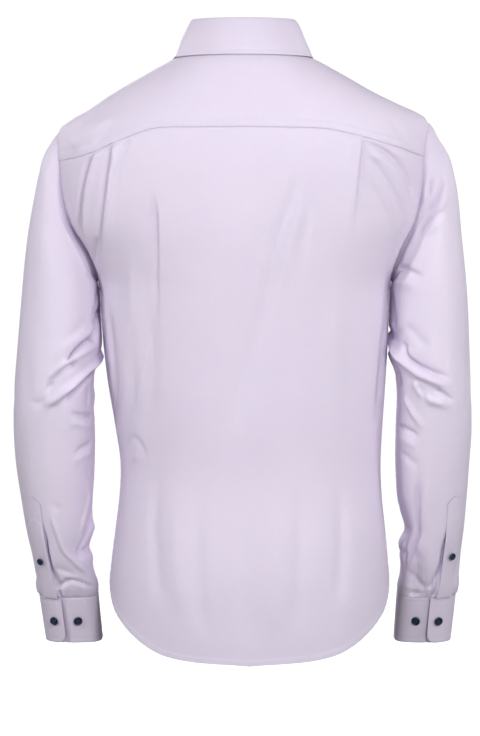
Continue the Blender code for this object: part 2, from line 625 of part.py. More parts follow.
def panel(name, patch, mat, lift=0.0, thick=WALL):
    """A wall on the torso form from a patch of (angle, level)."""
    angle, level = patch[..., 0], patch[..., 1]
    n = body_normal(angle, level)
    outer = body(angle, level) + n * (np.zeros(angle.shape) + lift)[..., None]
    outer = inset(outer, EDGE)
    return wall(name, outer, outer - n * thick, mat)


def button(name, centre, normal, radius, mat, sides=12):
    """A round shirt button: a rim round a shallow dish."""
    normal = unit(normal)
    e1 = unit(np.cross(normal, [0.0, 0.0, 1.0]))
    e2 = np.cross(normal, e1)
    profile = ((0.0, 0.0), (0.90, 0.0), (1.0, 0.50), (0.86, 1.0), (0.62, 0.75), (0.0, 0.75))
    a = np.linspace(0, 2 * math.pi, sides, endpoint=False)
    circle = np.cos(a)[:, None] * e1 + np.sin(a)[:, None] * e2
    verts, rings, faces = [], [], []
    for r, h in profile:
        base = centre + normal * h * BUTTON_T
        ring = [base] if r == 0.0 else list(base + radius * r * circle)
        rings.append(list(range(len(verts), len(verts) + len(ring))))
        verts += ring
    for p, q in zip(rings, rings[1:]):
        for j in range(sides):
            k = (j + 1) % sides
            if len(p) == 1:
                faces.append((p[0], q[k], q[j]))
            elif len(q) == 1:
                faces.append((p[j], p[k], q[0]))
            else:
                faces += [(p[j], p[k], q[k]), (p[j], q[k], q[j])]
    return place(name, np.array(verts), faces, mat, 35)


# ------------------------------------------------------------------ torso pieces
def make_back(mat):
    patch = back_patch()
    panel("back", patch, mat, body_folds(patch[..., 0], patch[..., 1]))


def make_yoke(mat):
    panel("yoke", yoke_patch(), mat)


def make_fronts(mat):
    panel("front_left", front_patch(1, BAND_W / 2), mat)
    patch = front_patch(-1, -BAND_W / 2)
    x = body(patch[..., 0], patch[..., 1])[..., 0] - spline(patch[..., 1], BODY_FIELD["x_mid"])
    panel("front_right", patch, mat, -UNDER * ease((x + BAND_W / 2 + 0.030) / 0.028))


def make_band(mat):
    level = front_edge(1, BAND_W / 2)[:, 1]
    angle = np.stack([front_angle(1, level, x) for x in np.linspace(-BAND_W / 2, BAND_W / 2, 4)], 1)
    level = np.repeat(level[:, None], 4, 1)
    n = body_normal(angle, level)
    outer = inset(body(angle, level) + n * 0.0005, EDGE)
    wall("front_band", outer, outer - n * PLY, mat)


# ------------------------------------------------------------------ collar
def round_out(angle):
    return np.stack([np.sin(angle), np.cos(angle), np.zeros(np.shape(angle))], -1)


def stand_lap(angle):
    """The stand's left end lies over its right end at the centre front."""
    return 0.0030 * ease((angle - math.radians(120)) / math.radians(45))


def stand_ring(angle, t):
    """The stand's outer face, t 0 on the neckline to 1 at the top."""
    n = body_normal(angle, np.full(np.shape(angle), 0.01))
    front = ease((np.abs(angle) - math.radians(140)) / math.radians(20))
    base = body(angle, np.zeros(np.shape(angle))) + n * (0.0006 + 0.0008 * front)[..., None]
    s, c = oval(angle, 2.0)
    behind = np.cos(angle) >= 0
    depth = np.where(behind, STAND["y_back"] - STAND["y_side"], STAND["y_side"] - STAND["y_front"])
    rise = np.where(behind, STAND["z_back"] - STAND["z_side"], STAND["z_front"] - STAND["z_side"])
    top = np.stack([STAND["x_mid"] + STAND["half_w"] * s, STAND["y_side"] + depth * c,
                    STAND["z_side"] + rise * np.cos(angle) ** 2], -1)
    bow = 0.0012 * math.sin(math.pi * t)
    return base + (top - base) * t + round_out(angle) * (stand_lap(angle) + bow)[..., None]


def make_stand(mat):
    yoke = yoke_patch()[0, :, 0]
    left, right = neck_angles(1, BAND_W / 2), neck_angles(-1, BAND_W / 2)
    end = math.radians(STAND_ENDS)
    front = np.radians([180.0, 173.0])
    angle = np.concatenate([[-end], -front, right[-STEPS["neck"] - 1:-1], yoke[::-1],
                            left[:-1][::-1], front[::-1], [end]])
    outer = np.stack([stand_ring(angle, t) for t in (0.0, 0.5, 1.0)])
    for k in (0, -1):
        outer[-1, k] += (outer[0, k] - outer[-1, k]) * 0.16
    wall("collar_stand", outer, outer - round_out(angle)[None] * PLY, mat)


def leaf(at, fall):
    """Outer face of the collar leaf: over the top of the stand, down to its free edge."""
    keys = column(COLLAR, COLLAR_COLUMNS, "at")
    get = {n: spline_at(np.abs(at), keys, column(COLLAR, COLLAR_COLUMNS, n)) for n in COLLAR_COLUMNS[2:]}
    top = np.radians(get["top_angle"]) * np.sign(at)
    edge = np.radians(get["edge_angle"]) * np.sign(at)
    low = body(edge, get["edge_level"]) + body_normal(edge, get["edge_level"]) * get["lift"][:, None]
    high = stand_ring(top, 1.0)
    along = unit(np.gradient(high, axis=0))
    rise = high - stand_ring(top, 0.5)
    up = unit(rise - (rise * along).sum(-1, keepdims=True) * along)
    out = np.cross(up, along)
    out = out * np.sign((out * round_out(top)).sum(-1, keepdims=True))
    roll = high + out * 0.0040 - up * 0.0012
    grid = [high - out * 0.0012 + up * 0.0030, high + out * 0.0018 + up * 0.0032, roll]
    for t in fall:
        grid.append(roll + (low - roll) * t + out * (0.0016 * math.sin(math.pi * t)))
    return np.stack(grid)


def make_leaf(mat):
    outer = leaf(np.linspace(-1, 1, 33), (0.35, 0.70, 1.0))
    n = grid_normals(outer, np.array([0.0, 0.0, -0.30]))
    wall("collar_leaf", outer, outer - n * PLY, mat)


# ------------------------------------------------------------------ sleeve pieces
def make_sleeve(which, mat):
    cuts = CUTS[1 if which == "left" else -1]
    theta = np.concatenate([cuts["yoke"], cuts["back"][1:], (cuts["front"][1:-1] + 2 * math.pi)[::-1]])
    grid, lift = sleeve(which, theta, SLEEVE_ROWS, clear=2 * EDGE)
    middle = grid.mean(1, keepdims=True)
    outer = grid + grid_normals(grid, middle, True) * lift[..., None]
    wall("sleeve_" + which, outer, outer - grid_normals(outer, middle, True) * WALL, mat, loop=True)


def cuff_layers(which, turn, t):
    """Outer face of the cuff and the way out from it; turn runs down from the flap's edge."""
    edge = LAPS[which][LAP_COLUMNS.index("edge")]
    lift = LAP["lift"] * ease(1 - (edge - turn - LAP["under"] - 6.0) / LAP["blend"])
    base = cuff(which, np.radians(turn), t)
    whole = cuff(which, np.radians(np.arange(0.0, 360.0, 10.0)), t)
    out = base - whole.mean(1, keepdims=True)
    out[..., 2] = 0.0
    out = unit(out)
    return base + out * (0.0006 + lift)[None, :, None], out


def make_cuff(which, mat):
    edge = LAPS[which][LAP_COLUMNS.index("edge")]
    turn = np.linspace(edge, edge - 360.0 - LAP["under"], 28)
    outer, out = cuff_layers(which, turn, (0.0, 0.45, 0.90, 1.0))
    for k in (0, -1):
        outer[-1, k] += (outer[-2, k] - outer[-1, k]) * 0.85
    wall("cuff_" + which, outer, outer - out * PLY, mat)


def placket_grid(which, rings, across, lift):
    """Points on a strip of the sleeve beside its opening; across 0 at the free edge."""
    row = dict(zip(PLACKET_COLUMNS, PLACKETS[which]))
    rings = np.asarray(rings, float)
    f = np.clip((rings - PLACKET["top_ring"]) / (15.0 - PLACKET["top_ring"]), 0, 1) ** 2.5
    edge = np.radians(row["edge_top"] + f * (row["edge_cuff"] - row["edge_top"]))
    theta = np.radians(np.linspace(-20, 110, 131))
    base, rise = sleeve(which, theta, rings)
    middle = base[:, :1] * np.array([0.85, 1.0, 1.0])
    n = grid_normals(base, middle)
    base = base + n * (rise[..., None] + lift)
    out, normal = np.empty((2, len(rings), len(across), 3))
    for i in range(len(rings)):
        run = np.concatenate([[0], np.cumsum(np.linalg.norm(np.diff(base[i], axis=0), axis=1))])
        here = np.interp(edge[i], theta, run) - np.asarray(across)
        for k in range(3):
            out[i, :, k] = np.interp(here, run, base[i, :, k])
            normal[i, :, k] = np.interp(here, run, n[i, :, k])
    return out, unit(normal)


def make_placket(which, mat):
    rings = np.linspace(PLACKET["top_ring"], 14.96, 11)
    base, n = placket_grid(which, rings, np.linspace(0, PLACKET["width"], 4), PLACKET["lift"])
    for j in (0, -1):
        base[0, j] += (base[1, j] - base[0, j]) * 0.45
    wall("placket_" + which, base + n * PLACKET["thick"], base, mat)


# ------------------------------------------------------------------ buttons
def facing(grid, away):
    """Normal at the middle of a 3 by 3 grid, on the side of away."""
    n = unit(np.cross(grid[1, 2] - grid[1, 0], grid[2, 1] - grid[0, 1]))
    return n if (n * away).sum() > 0 else -n


def make_buttons(mat):
    level_of = np.arange(len(BODY))
    for name, z in FRONT_BUTTONS:
        level = np.interp(-z, -BODY_FIELD["z_front"], level_of)
        n = body_normal(math.pi, level)
        button(name, body(math.pi, level) + n * 0.0009, n, BUTTON_R, mat)
    angle = np.radians([177.0, 180.0, 183.0])
    grid = np.stack([stand_ring(angle, t) for t in (0.35, 0.5, 0.65)])
    n = facing(grid, np.array([0.0, -1.0, 0.0]))
    button("button_1", grid[1, 1] + n * 0.0006, n, BUTTON_R * 0.9, mat)
    for which in ("left", "right"):
        lap = dict(zip(LAP_COLUMNS, LAPS[which]))
        for name in ("flap", "spare"):
            at = lap[name + "_button"]
            turn = np.array([at + 2, at, at - 2]) - (0.0 if name == "flap" else 360.0)
            grid, out = cuff_layers(which, turn, (0.46, 0.51, 0.56))
            n = facing(grid, out[1, 1])
            button("cuff_button_%s_%s" % (which, name), grid[1, 1] + n * 0.0007, n, BUTTON_R, mat)
        ring = PLACKETS[which][PLACKET_COLUMNS.index("button_ring")]
        grid, away = placket_grid(which, (ring - 0.05, ring, ring + 0.05), (0.010, 0.0125, 0.015),
                                  PLACKET["lift"] + PLACKET["thick"])
        n = facing(grid, away[1, 1])
        button("placket_button_" + which, grid[1, 1] + n * 0.0007, n, SMALL_BUTTON_R, mat)


def main():
    for obj in list(bpy.data.objects):
        bpy.data.objects.remove(obj, do_unlink=True)
    cloth = material("lilac_cloth", LILAC, 0.62)
    crisp = material("lilac_interlined", LILAC, 0.58)
    navy = material("navy_button", NAVY, 0.22)
    make_back(cloth)
    make_yoke(cloth)
    make_fronts(cloth)
    make_band(crisp)
    make_stand(crisp)
    make_leaf(crisp)
    for which in ("left", "right"):
        make_sleeve(which, cloth)
        make_cuff(which, crisp)
        make_placket(which, cloth)
    make_buttons(navy)


main()
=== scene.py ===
"""Looks of a long sleeve dress shirt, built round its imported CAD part.

Metres, +Z up, the front faces -Y and the wearer's left is +X.  Every panel is a
thin shell on the form of its CAD solid: the torso is body(angle, level), each
sleeve a loft, and creases, seams and stitches are raised from those forms.
"""

import math

import bpy
import numpy as np
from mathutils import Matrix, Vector, noise


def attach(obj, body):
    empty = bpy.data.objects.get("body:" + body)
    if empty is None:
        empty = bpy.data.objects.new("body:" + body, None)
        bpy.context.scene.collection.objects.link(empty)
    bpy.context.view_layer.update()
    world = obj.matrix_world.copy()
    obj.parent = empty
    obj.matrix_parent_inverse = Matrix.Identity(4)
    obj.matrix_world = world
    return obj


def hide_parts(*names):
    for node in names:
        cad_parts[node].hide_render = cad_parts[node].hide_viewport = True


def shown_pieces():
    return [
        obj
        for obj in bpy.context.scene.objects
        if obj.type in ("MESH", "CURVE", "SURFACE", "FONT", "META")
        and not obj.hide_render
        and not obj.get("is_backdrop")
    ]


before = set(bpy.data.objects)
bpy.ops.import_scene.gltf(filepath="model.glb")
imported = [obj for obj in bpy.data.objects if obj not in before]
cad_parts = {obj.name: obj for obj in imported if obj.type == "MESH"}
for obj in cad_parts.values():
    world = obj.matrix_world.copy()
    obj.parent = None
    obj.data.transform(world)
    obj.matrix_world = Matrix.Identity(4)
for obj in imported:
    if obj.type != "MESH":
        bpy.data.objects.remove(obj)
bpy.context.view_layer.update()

# ------------------------------------------------------------------ sizes
CLOTH = 0.0006         # shell of one ply
SEAMED = 0.00055       # how much a seam's folded allowance raises the panel that lies on top
TUCK = 0.00045         # how much the panel below sinks to pass under it
TAB = 0.0060           # how far it runs on under it
STIFF = 0.0015         # collar, cuffs: two plies and an interlining
SHOULDER_DROP = 0.005
BAND_W = 0.034
UNDER = 0.0022
YOKE_FRONT = 112.0
BUTTON_T = 0.0026
PITCH = 0.0028         # stitch to stitch
THREAD = 0.00020

# ------------------------------------------------------------------ the forms, as in the CAD part
BODY_COLUMNS = ("name", "half_w", "x_mid", "z_side", "y_side", "y_back",
                "z_back", "y_front", "z_front", "square")
BODY = (
    ("neckline",     0.0700,  0.0000,  0.0030,  0.000, 0.0600,  0.010, -0.0580, -0.066, 2.00),
    ("collar_edge",  0.0920,  0.0000, -0.0045,  0.001, 0.0825, -0.004, -0.0760, -0.088, 2.05),
    ("shoulder_1",   0.1220,  0.0000, -0.0205,  0.003, 0.0945, -0.026, -0.0890, -0.110, 2.10),
    ("shoulder_2",   0.1580,  0.0000, -0.0402,  0.005, 0.1035, -0.052, -0.1000, -0.131, 2.15),
    ("shoulder_3",   0.1950,  0.0010, -0.0610,  0.006, 0.1105, -0.078, -0.1095, -0.150, 2.20),
    ("shoulder_4",   0.2215,  0.0020, -0.0780,  0.006, 0.1155, -0.102, -0.1175, -0.168, 2.25),
    ("shoulder_tip", 0.2330,  0.0020, -0.0980,  0.005, 0.1190, -0.127, -0.1230, -0.187, 2.30),
    ("sleeve_head",  0.2368,  0.0020, -0.1300,  0.003, 0.1205, -0.153, -0.1265, -0.206, 2.35),
    ("armhole_mid",  0.2372,  0.0015, -0.1710,  0.000, 0.1205, -0.183, -0.1290, -0.226, 2.35),
    ("armhole_low",  0.2280,  0.0005, -0.2120, -0.002, 0.1195, -0.217, -0.1300, -0.248, 2.35),
    ("armhole_base", 0.2050, -0.0010, -0.2520, -0.004, 0.1165, -0.253, -0.1290, -0.272, 2.35),
    ("underarm",     0.1880, -0.0020, -0.2880, -0.005, 0.1125, -0.289, -0.1270, -0.299, 2.35),
    ("chest",        0.1858, -0.0025, -0.3300, -0.006, 0.1080, -0.330, -0.1240, -0.335, 2.35),
    ("rib",          0.1832, -0.0035, -0.3740, -0.007, 0.1030, -0.374, -0.1210, -0.376, 2.35),
    ("midriff",      0.1792, -0.0050, -0.4220, -0.009, 0.0978, -0.422, -0.1170, -0.422, 2.35),
    ("waist_high",   0.1735, -0.0075, -0.4720, -0.011, 0.0932, -0.472, -0.1130, -0.472, 2.30),
    ("waist",        0.1688, -0.0098, -0.5220, -0.012, 0.0905, -0.522, -0.1100, -0.522, 2.30),
    ("belt",         0.1702, -0.0100, -0.5660, -0.011, 0.0945, -0.566, -0.1100, -0.566, 2.30),
    ("hip_high",     0.1755, -0.0095, -0.6140, -0.008, 0.1025, -0.614, -0.1120, -0.614, 2.30),
    ("hip",          0.1810, -0.0085, -0.6680, -0.005, 0.1095, -0.668, -0.1140, -0.668, 2.30),
    ("tail",         0.1840, -0.0080, -0.7270, -0.004, 0.1130, -0.727, -0.1145, -0.727, 2.30),
    ("hem",          0.1855, -0.0080, -0.7900, -0.004, 0.1145, -0.790, -0.1145, -0.790, 2.30),
)
ARMHOLE = {"y_mid": -0.003, "z_mid": -0.1900, "back": 0.0475, "front": 0.0560,
           "half_h": 0.0980, "square": 2.25}
YOKE_COLUMNS = ("name", "x", "z")
YOKE_SEAM = (
    ("right_armhole", -0.2262, -0.1275),
    ("right_outer",   -0.1960, -0.1172),
    ("right_pleat",   -0.1500, -0.1045),
    ("right_inner",   -0.1050, -0.0950),
    ("centre_right",  -0.0500, -0.0930),
    ("centre",         0.0000, -0.0922),
    ("centre_left",    0.0550, -0.0928),
    ("left_inner",     0.1120, -0.0945),
    ("left_pleat",     0.1600, -0.1110),
    ("left_outer",     0.1950, -0.1255),
    ("left_armhole",   0.2260, -0.1325),
)
HEM_COLUMNS = ("name", "angle", "z")
HEM = (
    ("centre_back",   0.0, -0.768),
    ("back_quarter", 35.0, -0.757),
    ("back_side",    65.0, -0.712),
    ("side_seam",    90.0, -0.672),
    ("front_side",  115.0, -0.700),
    ("front_quarter", 145.0, -0.738),
    ("centre_front", 180.0, -0.745),
)
RING_COLUMNS = ("name", "x_out", "z_out", "x_in", "z_in", "y_mid", "back", "front")
SLEEVES = {
    "left": (
        ("head_1",    0.2531, -0.1210, 0.1905, -0.2900, -0.0020, 0.0525, 0.0570),
        ("head_2",    0.2621, -0.1520, 0.1900, -0.2925, -0.0010, 0.0565, 0.0595),
        ("head_3",    0.2692, -0.1860, 0.1895, -0.2980,  0.0000, 0.0595, 0.0610),
        ("biceps_1",  0.2755, -0.2220, 0.1890, -0.3070,  0.0010, 0.0610, 0.0615),
        ("biceps_2",  0.2812, -0.2660, 0.1887, -0.3220,  0.0020, 0.0610, 0.0605),
        ("biceps_3",  0.2858, -0.3180, 0.1886, -0.3470,  0.0040, 0.0600, 0.0585),
        ("elbow_1",   0.2908, -0.3750, 0.1908, -0.3850,  0.0060, 0.0590, 0.0560),
        ("elbow_2",   0.2953, -0.4300, 0.1940, -0.4320,  0.0050, 0.0580, 0.0545),
        ("forearm_1", 0.2965, -0.4800, 0.1925, -0.4790,  0.0010, 0.0555, 0.0530),
        ("forearm_2", 0.2943, -0.5250, 0.1935, -0.5240, -0.0050, 0.0535, 0.0515),
        ("forearm_3", 0.2890, -0.5680, 0.1955, -0.5670, -0.0120, 0.0510, 0.0495),
        ("forearm_4", 0.2834, -0.6080, 0.1955, -0.6070, -0.0195, 0.0490, 0.0475),
        ("wrist_1",   0.2772, -0.6430, 0.1950, -0.6420, -0.0268, 0.0465, 0.0450),
        ("wrist_2",   0.2718, -0.6760, 0.1925, -0.6755, -0.0342, 0.0430, 0.0415),
        ("cuff_seam", 0.2682, -0.6995, 0.1913, -0.6995, -0.0398, 0.0390, 0.0380),
    ),
    "right": (
        ("head_1",    0.2600, -0.1190, 0.1952, -0.2895, -0.0020, 0.0525, 0.0570),
        ("head_2",    0.2711, -0.1520, 0.1945, -0.2920, -0.0010, 0.0565, 0.0595),
        ("head_3",    0.2767, -0.1860, 0.1938, -0.2970,  0.0000, 0.0595, 0.0610),
        ("biceps_1",  0.2802, -0.2220, 0.1932, -0.3060,  0.0010, 0.0610, 0.0615),
        ("biceps_2",  0.2851, -0.2660, 0.1926, -0.3210,  0.0020, 0.0610, 0.0605),
        ("biceps_3",  0.2894, -0.3180, 0.1920, -0.3460,  0.0040, 0.0600, 0.0585),
        ("elbow_1",   0.2916, -0.3750, 0.1940, -0.3830,  0.0060, 0.0590, 0.0560),
        ("elbow_2",   0.2940, -0.4300, 0.1990, -0.4310,  0.0050, 0.0580, 0.0545),
        ("forearm_1", 0.2952, -0.4800, 0.1982, -0.4790,  0.0010, 0.0555, 0.0530),
        ("forearm_2", 0.2931, -0.5250, 0.1985, -0.5240, -0.0050, 0.0535, 0.0515),
        ("forearm_3", 0.2912, -0.5680, 0.2008, -0.5670, -0.0120, 0.0510, 0.0495),
        ("forearm_4", 0.2889, -0.6080, 0.2025, -0.6070, -0.0195, 0.0490, 0.0475),
        ("wrist_1",   0.2858, -0.6430, 0.2032, -0.6420, -0.0268, 0.0465, 0.0450),
        ("wrist_2",   0.2836, -0.6760, 0.2038, -0.6755, -0.0342, 0.0430, 0.0415),
        ("cuff_seam", 0.2806, -0.6995, 0.2035, -0.6995, -0.0398, 0.0390, 0.0380),
    ),
}
CUFFS = {
    "left": (
        ("top",    0.2663, -0.7003, 0.1915, -0.7003, -0.0402, 0.0385, 0.0380),
        ("bottom", 0.2589, -0.7625, 0.1865, -0.7625, -0.0535, 0.0360, 0.0355),
    ),
    "right": (
        ("top",    0.2787, -0.7003, 0.2037, -0.7003, -0.0402, 0.0385, 0.0380),
        ("bottom", 0.2736, -0.7625, 0.2005, -0.7625, -0.0535, 0.0360, 0.0355),
    ),
}
LAP_COLUMNS = ("name", "edge", "flap_button", "spare_button")
LAPS = {"left": ("left", 78.0, 59.5, 105.0), "right": ("right", 86.0, 67.0, 109.5)}
LAP = {"under": 42.0, "blend": 60.0, "lift": 0.0026}
PLACKET_COLUMNS = ("name", "edge_top", "edge_cuff", "button_ring")
PLACKETS = {"left": ("left", 67.0, 75.0, 13.20), "right": ("right", 68.5, 78.0, 13.00)}
PLACKET = {"width": 0.025, "top_ring": 10.90, "lift": 0.0006, "thick": 0.0012}
COLLAR_COLUMNS = ("name", "at", "top_angle", "edge_angle", "edge_level", "lift")
COLLAR = (
    ("centre_back", 0.00,   0.0,   0.0, 0.90, 0.0034),
    ("back",        0.17,  30.0,  30.0, 0.90, 0.0034),
    ("back_side",   0.34,  60.0,  60.0, 0.89, 0.0034),
    ("side",        0.50,  88.0,  89.0, 0.88, 0.0034),
    ("front_side",  0.67, 118.0, 114.0, 1.22, 0.0036),
    ("front",       0.84, 148.0, 138.0, 1.62, 0.0040),
    ("point",       1.00, 173.0, 157.5, 2.00, 0.0044),
)
STAND = {"half_w": 0.0625, "x_mid": 0.0012, "z_side": 0.0430, "y_side": -0.004, "y_back": 0.0515,
         "z_back": 0.0425, "y_front": -0.0610, "z_front": -0.0345}
STAND_ENDS = 187.0

# ------------------------------------------------------------------ creases
# A crease is a soft ridge (height above 0) or trough (below) along a line. Sizes are in
# millimetres; right and left are its widths to either side of someone who walks along the
# line, seen from outside; start and end are the shares of its length over which it fades.
CREASE_COLUMNS = ("name", "line", "height", "right", "left", "start", "end")
# lines of these lists are places in the camera's 480 by 736 view of the back
BACK_CREASES = (
    ("left_pleat", ((113.5, 140), (112, 160), (108, 190), (104, 225), (102, 262), (101.5, 300)), 2.6, 1.8, 10, 0.0, 0.35),
    ("left_pleat_gutter", ((110.5, 143), (109, 162), (104.5, 192), (100, 228), (98, 256)), -2.0, 6, 2.2, 0.0, 0.35),
    ("left_pleat_streak", ((126, 142), (121.5, 156), (114.5, 184), (111, 214)), -1.5, 4, 4.5, 0.0, 0.6),
    ("left_pleat_swell", ((118, 150), (114, 172), (109, 204), (107, 240)), 0.7, 3.5, 3.5, 0.1, 0.5),
    ("left_outer_fold", ((99, 146), (91, 167), (85.5, 192), (83.5, 216), (85, 238), (90, 256)), 2.6, 1.8, 8, 0.05, 0.25),
    ("left_outer_gutter", ((94, 151), (87, 170), (82, 194), (80.5, 220), (82, 240)), -2.4, 4.8, 2.2, 0.1, 0.25),
    ("left_armpit_spur", ((97, 236), (94, 250), (93.5, 264)), -2.4, 3.5, 3, 0.3, 0.2),
    ("left_valley", ((154, 198), (156, 225), (156.5, 262), (157, 300), (157, 336)), -2.3, 17, 2.3, 0.15, 0.4),
    ("left_valley_head", ((152, 194), (155.5, 206), (156.5, 240), (156.5, 270)), -0.9, 5, 1.6, 0.15, 0.5),
    ("left_band_upper_1", ((145, 236), (143, 275), (142, 330)), -1.0, 12, 8, 0.4, 0.4),
    ("left_band_upper_2", ((122, 236), (118, 272), (116, 335)), -0.9, 8, 8, 0.4, 0.4),
    ("left_band_light", ((132, 246), (130, 280), (130, 330)), 0.9, 6, 6, 0.4, 0.4),
    ("left_highlight", ((150, 330), (146, 358), (138, 396), (127, 430)), 1.4, 4, 3.5, 0.3, 0.3),
    ("left_side_band", ((108, 300), (111, 340), (115, 385), (119, 432)), -2.6, 9, 9, 0.3, 0.25),
    ("left_second_band", ((131, 345), (134, 385), (135, 425)), -1.2, 8, 7, 0.4, 0.35),
    ("left_low_band", ((148, 288), (151, 340), (152, 396), (147, 442)), -2.0, 15, 10, 0.35, 0.3),
    ("arch_groove", ((126, 456), (127.5, 445), (132.5, 438), (139, 440), (145, 449), (149, 461)), -1.2, 4.5, 3.0, 0.25, 0.35),
    ("arch_swell", ((136, 452), (138, 462)), 1.6, 8, 8, 0.5, 0.5),
    ("left_upper_soft", ((176, 160), (172, 200), (176, 250)), -0.5, 16, 16, 0.4, 0.4),
    ("centre_diagonal", ((281, 150), (262, 171), (242, 194), (226, 232)), -1.0, 15, 15, 0.35, 0.45),
    ("centre_right_main", ((301, 152), (298, 186), (280, 237), (268, 292), (252, 345), (240, 392), (232, 442)),
     -2.2, 8, 6.5, 0.2, 0.25),
    ("centre_right_second", ((306, 170), (311, 200), (305, 240), (298, 296)), -1.4, 8, 6, 0.3, 0.45),
    ("centre_right_between", ((303, 186), (297, 222), (288, 256), (281, 300)), 0.9, 7, 7, 0.3, 0.4),
    ("centre_low", ((262, 318), (250, 372), (237, 425), (226, 462)), -0.9, 6, 8, 0.35, 0.3),
    ("centre_swell", ((214, 250), (208, 330), (204, 410)), 0.8, 26, 26, 0.4, 0.4),
    ("right_swell", ((335, 230), (330, 320), (322, 410)), 0.8, 24, 24, 0.4, 0.4),
    ("right_pleat", ((361, 136), (360, 150), (358, 170), (355, 200), (351.5, 240)), 2.3, 9, 2.0, 0.0, 0.5),
    ("right_pleat_gutter", ((363.8, 138), (362.8, 152), (361, 172), (358, 203)), -1.7, 2.5, 5, 0.0, 0.45),
    ("right_fan_1", ((365, 141), (377, 146), (388.5, 153.5), (398, 163.5), (405, 174), (411, 188), (414, 204)),
     -2.3, 3.6, 3.6, 0.1, 0.25),
    ("right_fan_1_ridge", ((369, 137), (383, 143), (397, 154), (407, 166), (415, 184)), 0.9, 4.5, 5, 0.2, 0.3),
    ("right_fan_2_ridge", ((370, 151), (383, 160), (393, 170), (402, 185), (407.5, 204)), 1.5, 4.5, 4.5, 0.15, 0.25),
    ("right_fan_2", ((366, 153), (379, 168), (390.5, 184.5), (399, 201), (403.5, 217), (405, 232)), -1.9, 4.5, 3.5, 0.1, 0.25),
    ("right_fan_3_ridge", ((366, 166), (379, 184), (390, 203), (396, 224)), 0.8, 5, 5, 0.25, 0.3),
    ("right_fan_3", ((364, 176), (377, 196), (388, 218), (393, 244)), -1.0, 6, 5, 0.3, 0.35),
    ("right_armpit_spur", ((405, 222), (402, 238), (397, 256)), -1.9, 4, 4, 0.25, 0.35),
    ("right_armpit_soft", ((392, 236), (390, 262), (386, 296)), -1.4, 8, 8, 0.35, 0.4),
    ("right_side_band", ((384, 320), (381, 370), (374, 432)), -2.2, 9, 9, 0.3, 0.3),
    ("right_soft", ((326, 262), (322, 330), (318, 402)), -0.7, 12, 12, 0.4, 0.4),
    ("right_soft_2", ((352, 300), (350, 360), (344, 430)), -0.7, 11, 11, 0.4, 0.4),
)
YOKE_CREASES = (
    ("left_drag", ((101, 107), (84, 119), (69, 134)), -2.6, 11, 9, 0.3, 0.2),
    ("left_drag_ridge", ((113, 115), (104, 122.5), (88, 137), (73, 152)), 2.5, 13, 5.0, 0.35, 0.1),
    ("left_drag_2", ((118, 121), (106, 131), (92, 144)), -1.4, 4, 7, 0.35, 0.25),
    ("left_tip_ridge", ((70, 128), (70, 142), (68, 154)), 1.0, 3.5, 4, 0.3, 0.2),
    ("right_drag", ((386, 116), (398, 130), (410, 146)), -0.9, 8, 7, 0.4, 0.3),
    ("right_drag_ridge", ((394, 112), (407, 127), (417, 144)), 0.7, 6, 6, 0.4, 0.3),
)
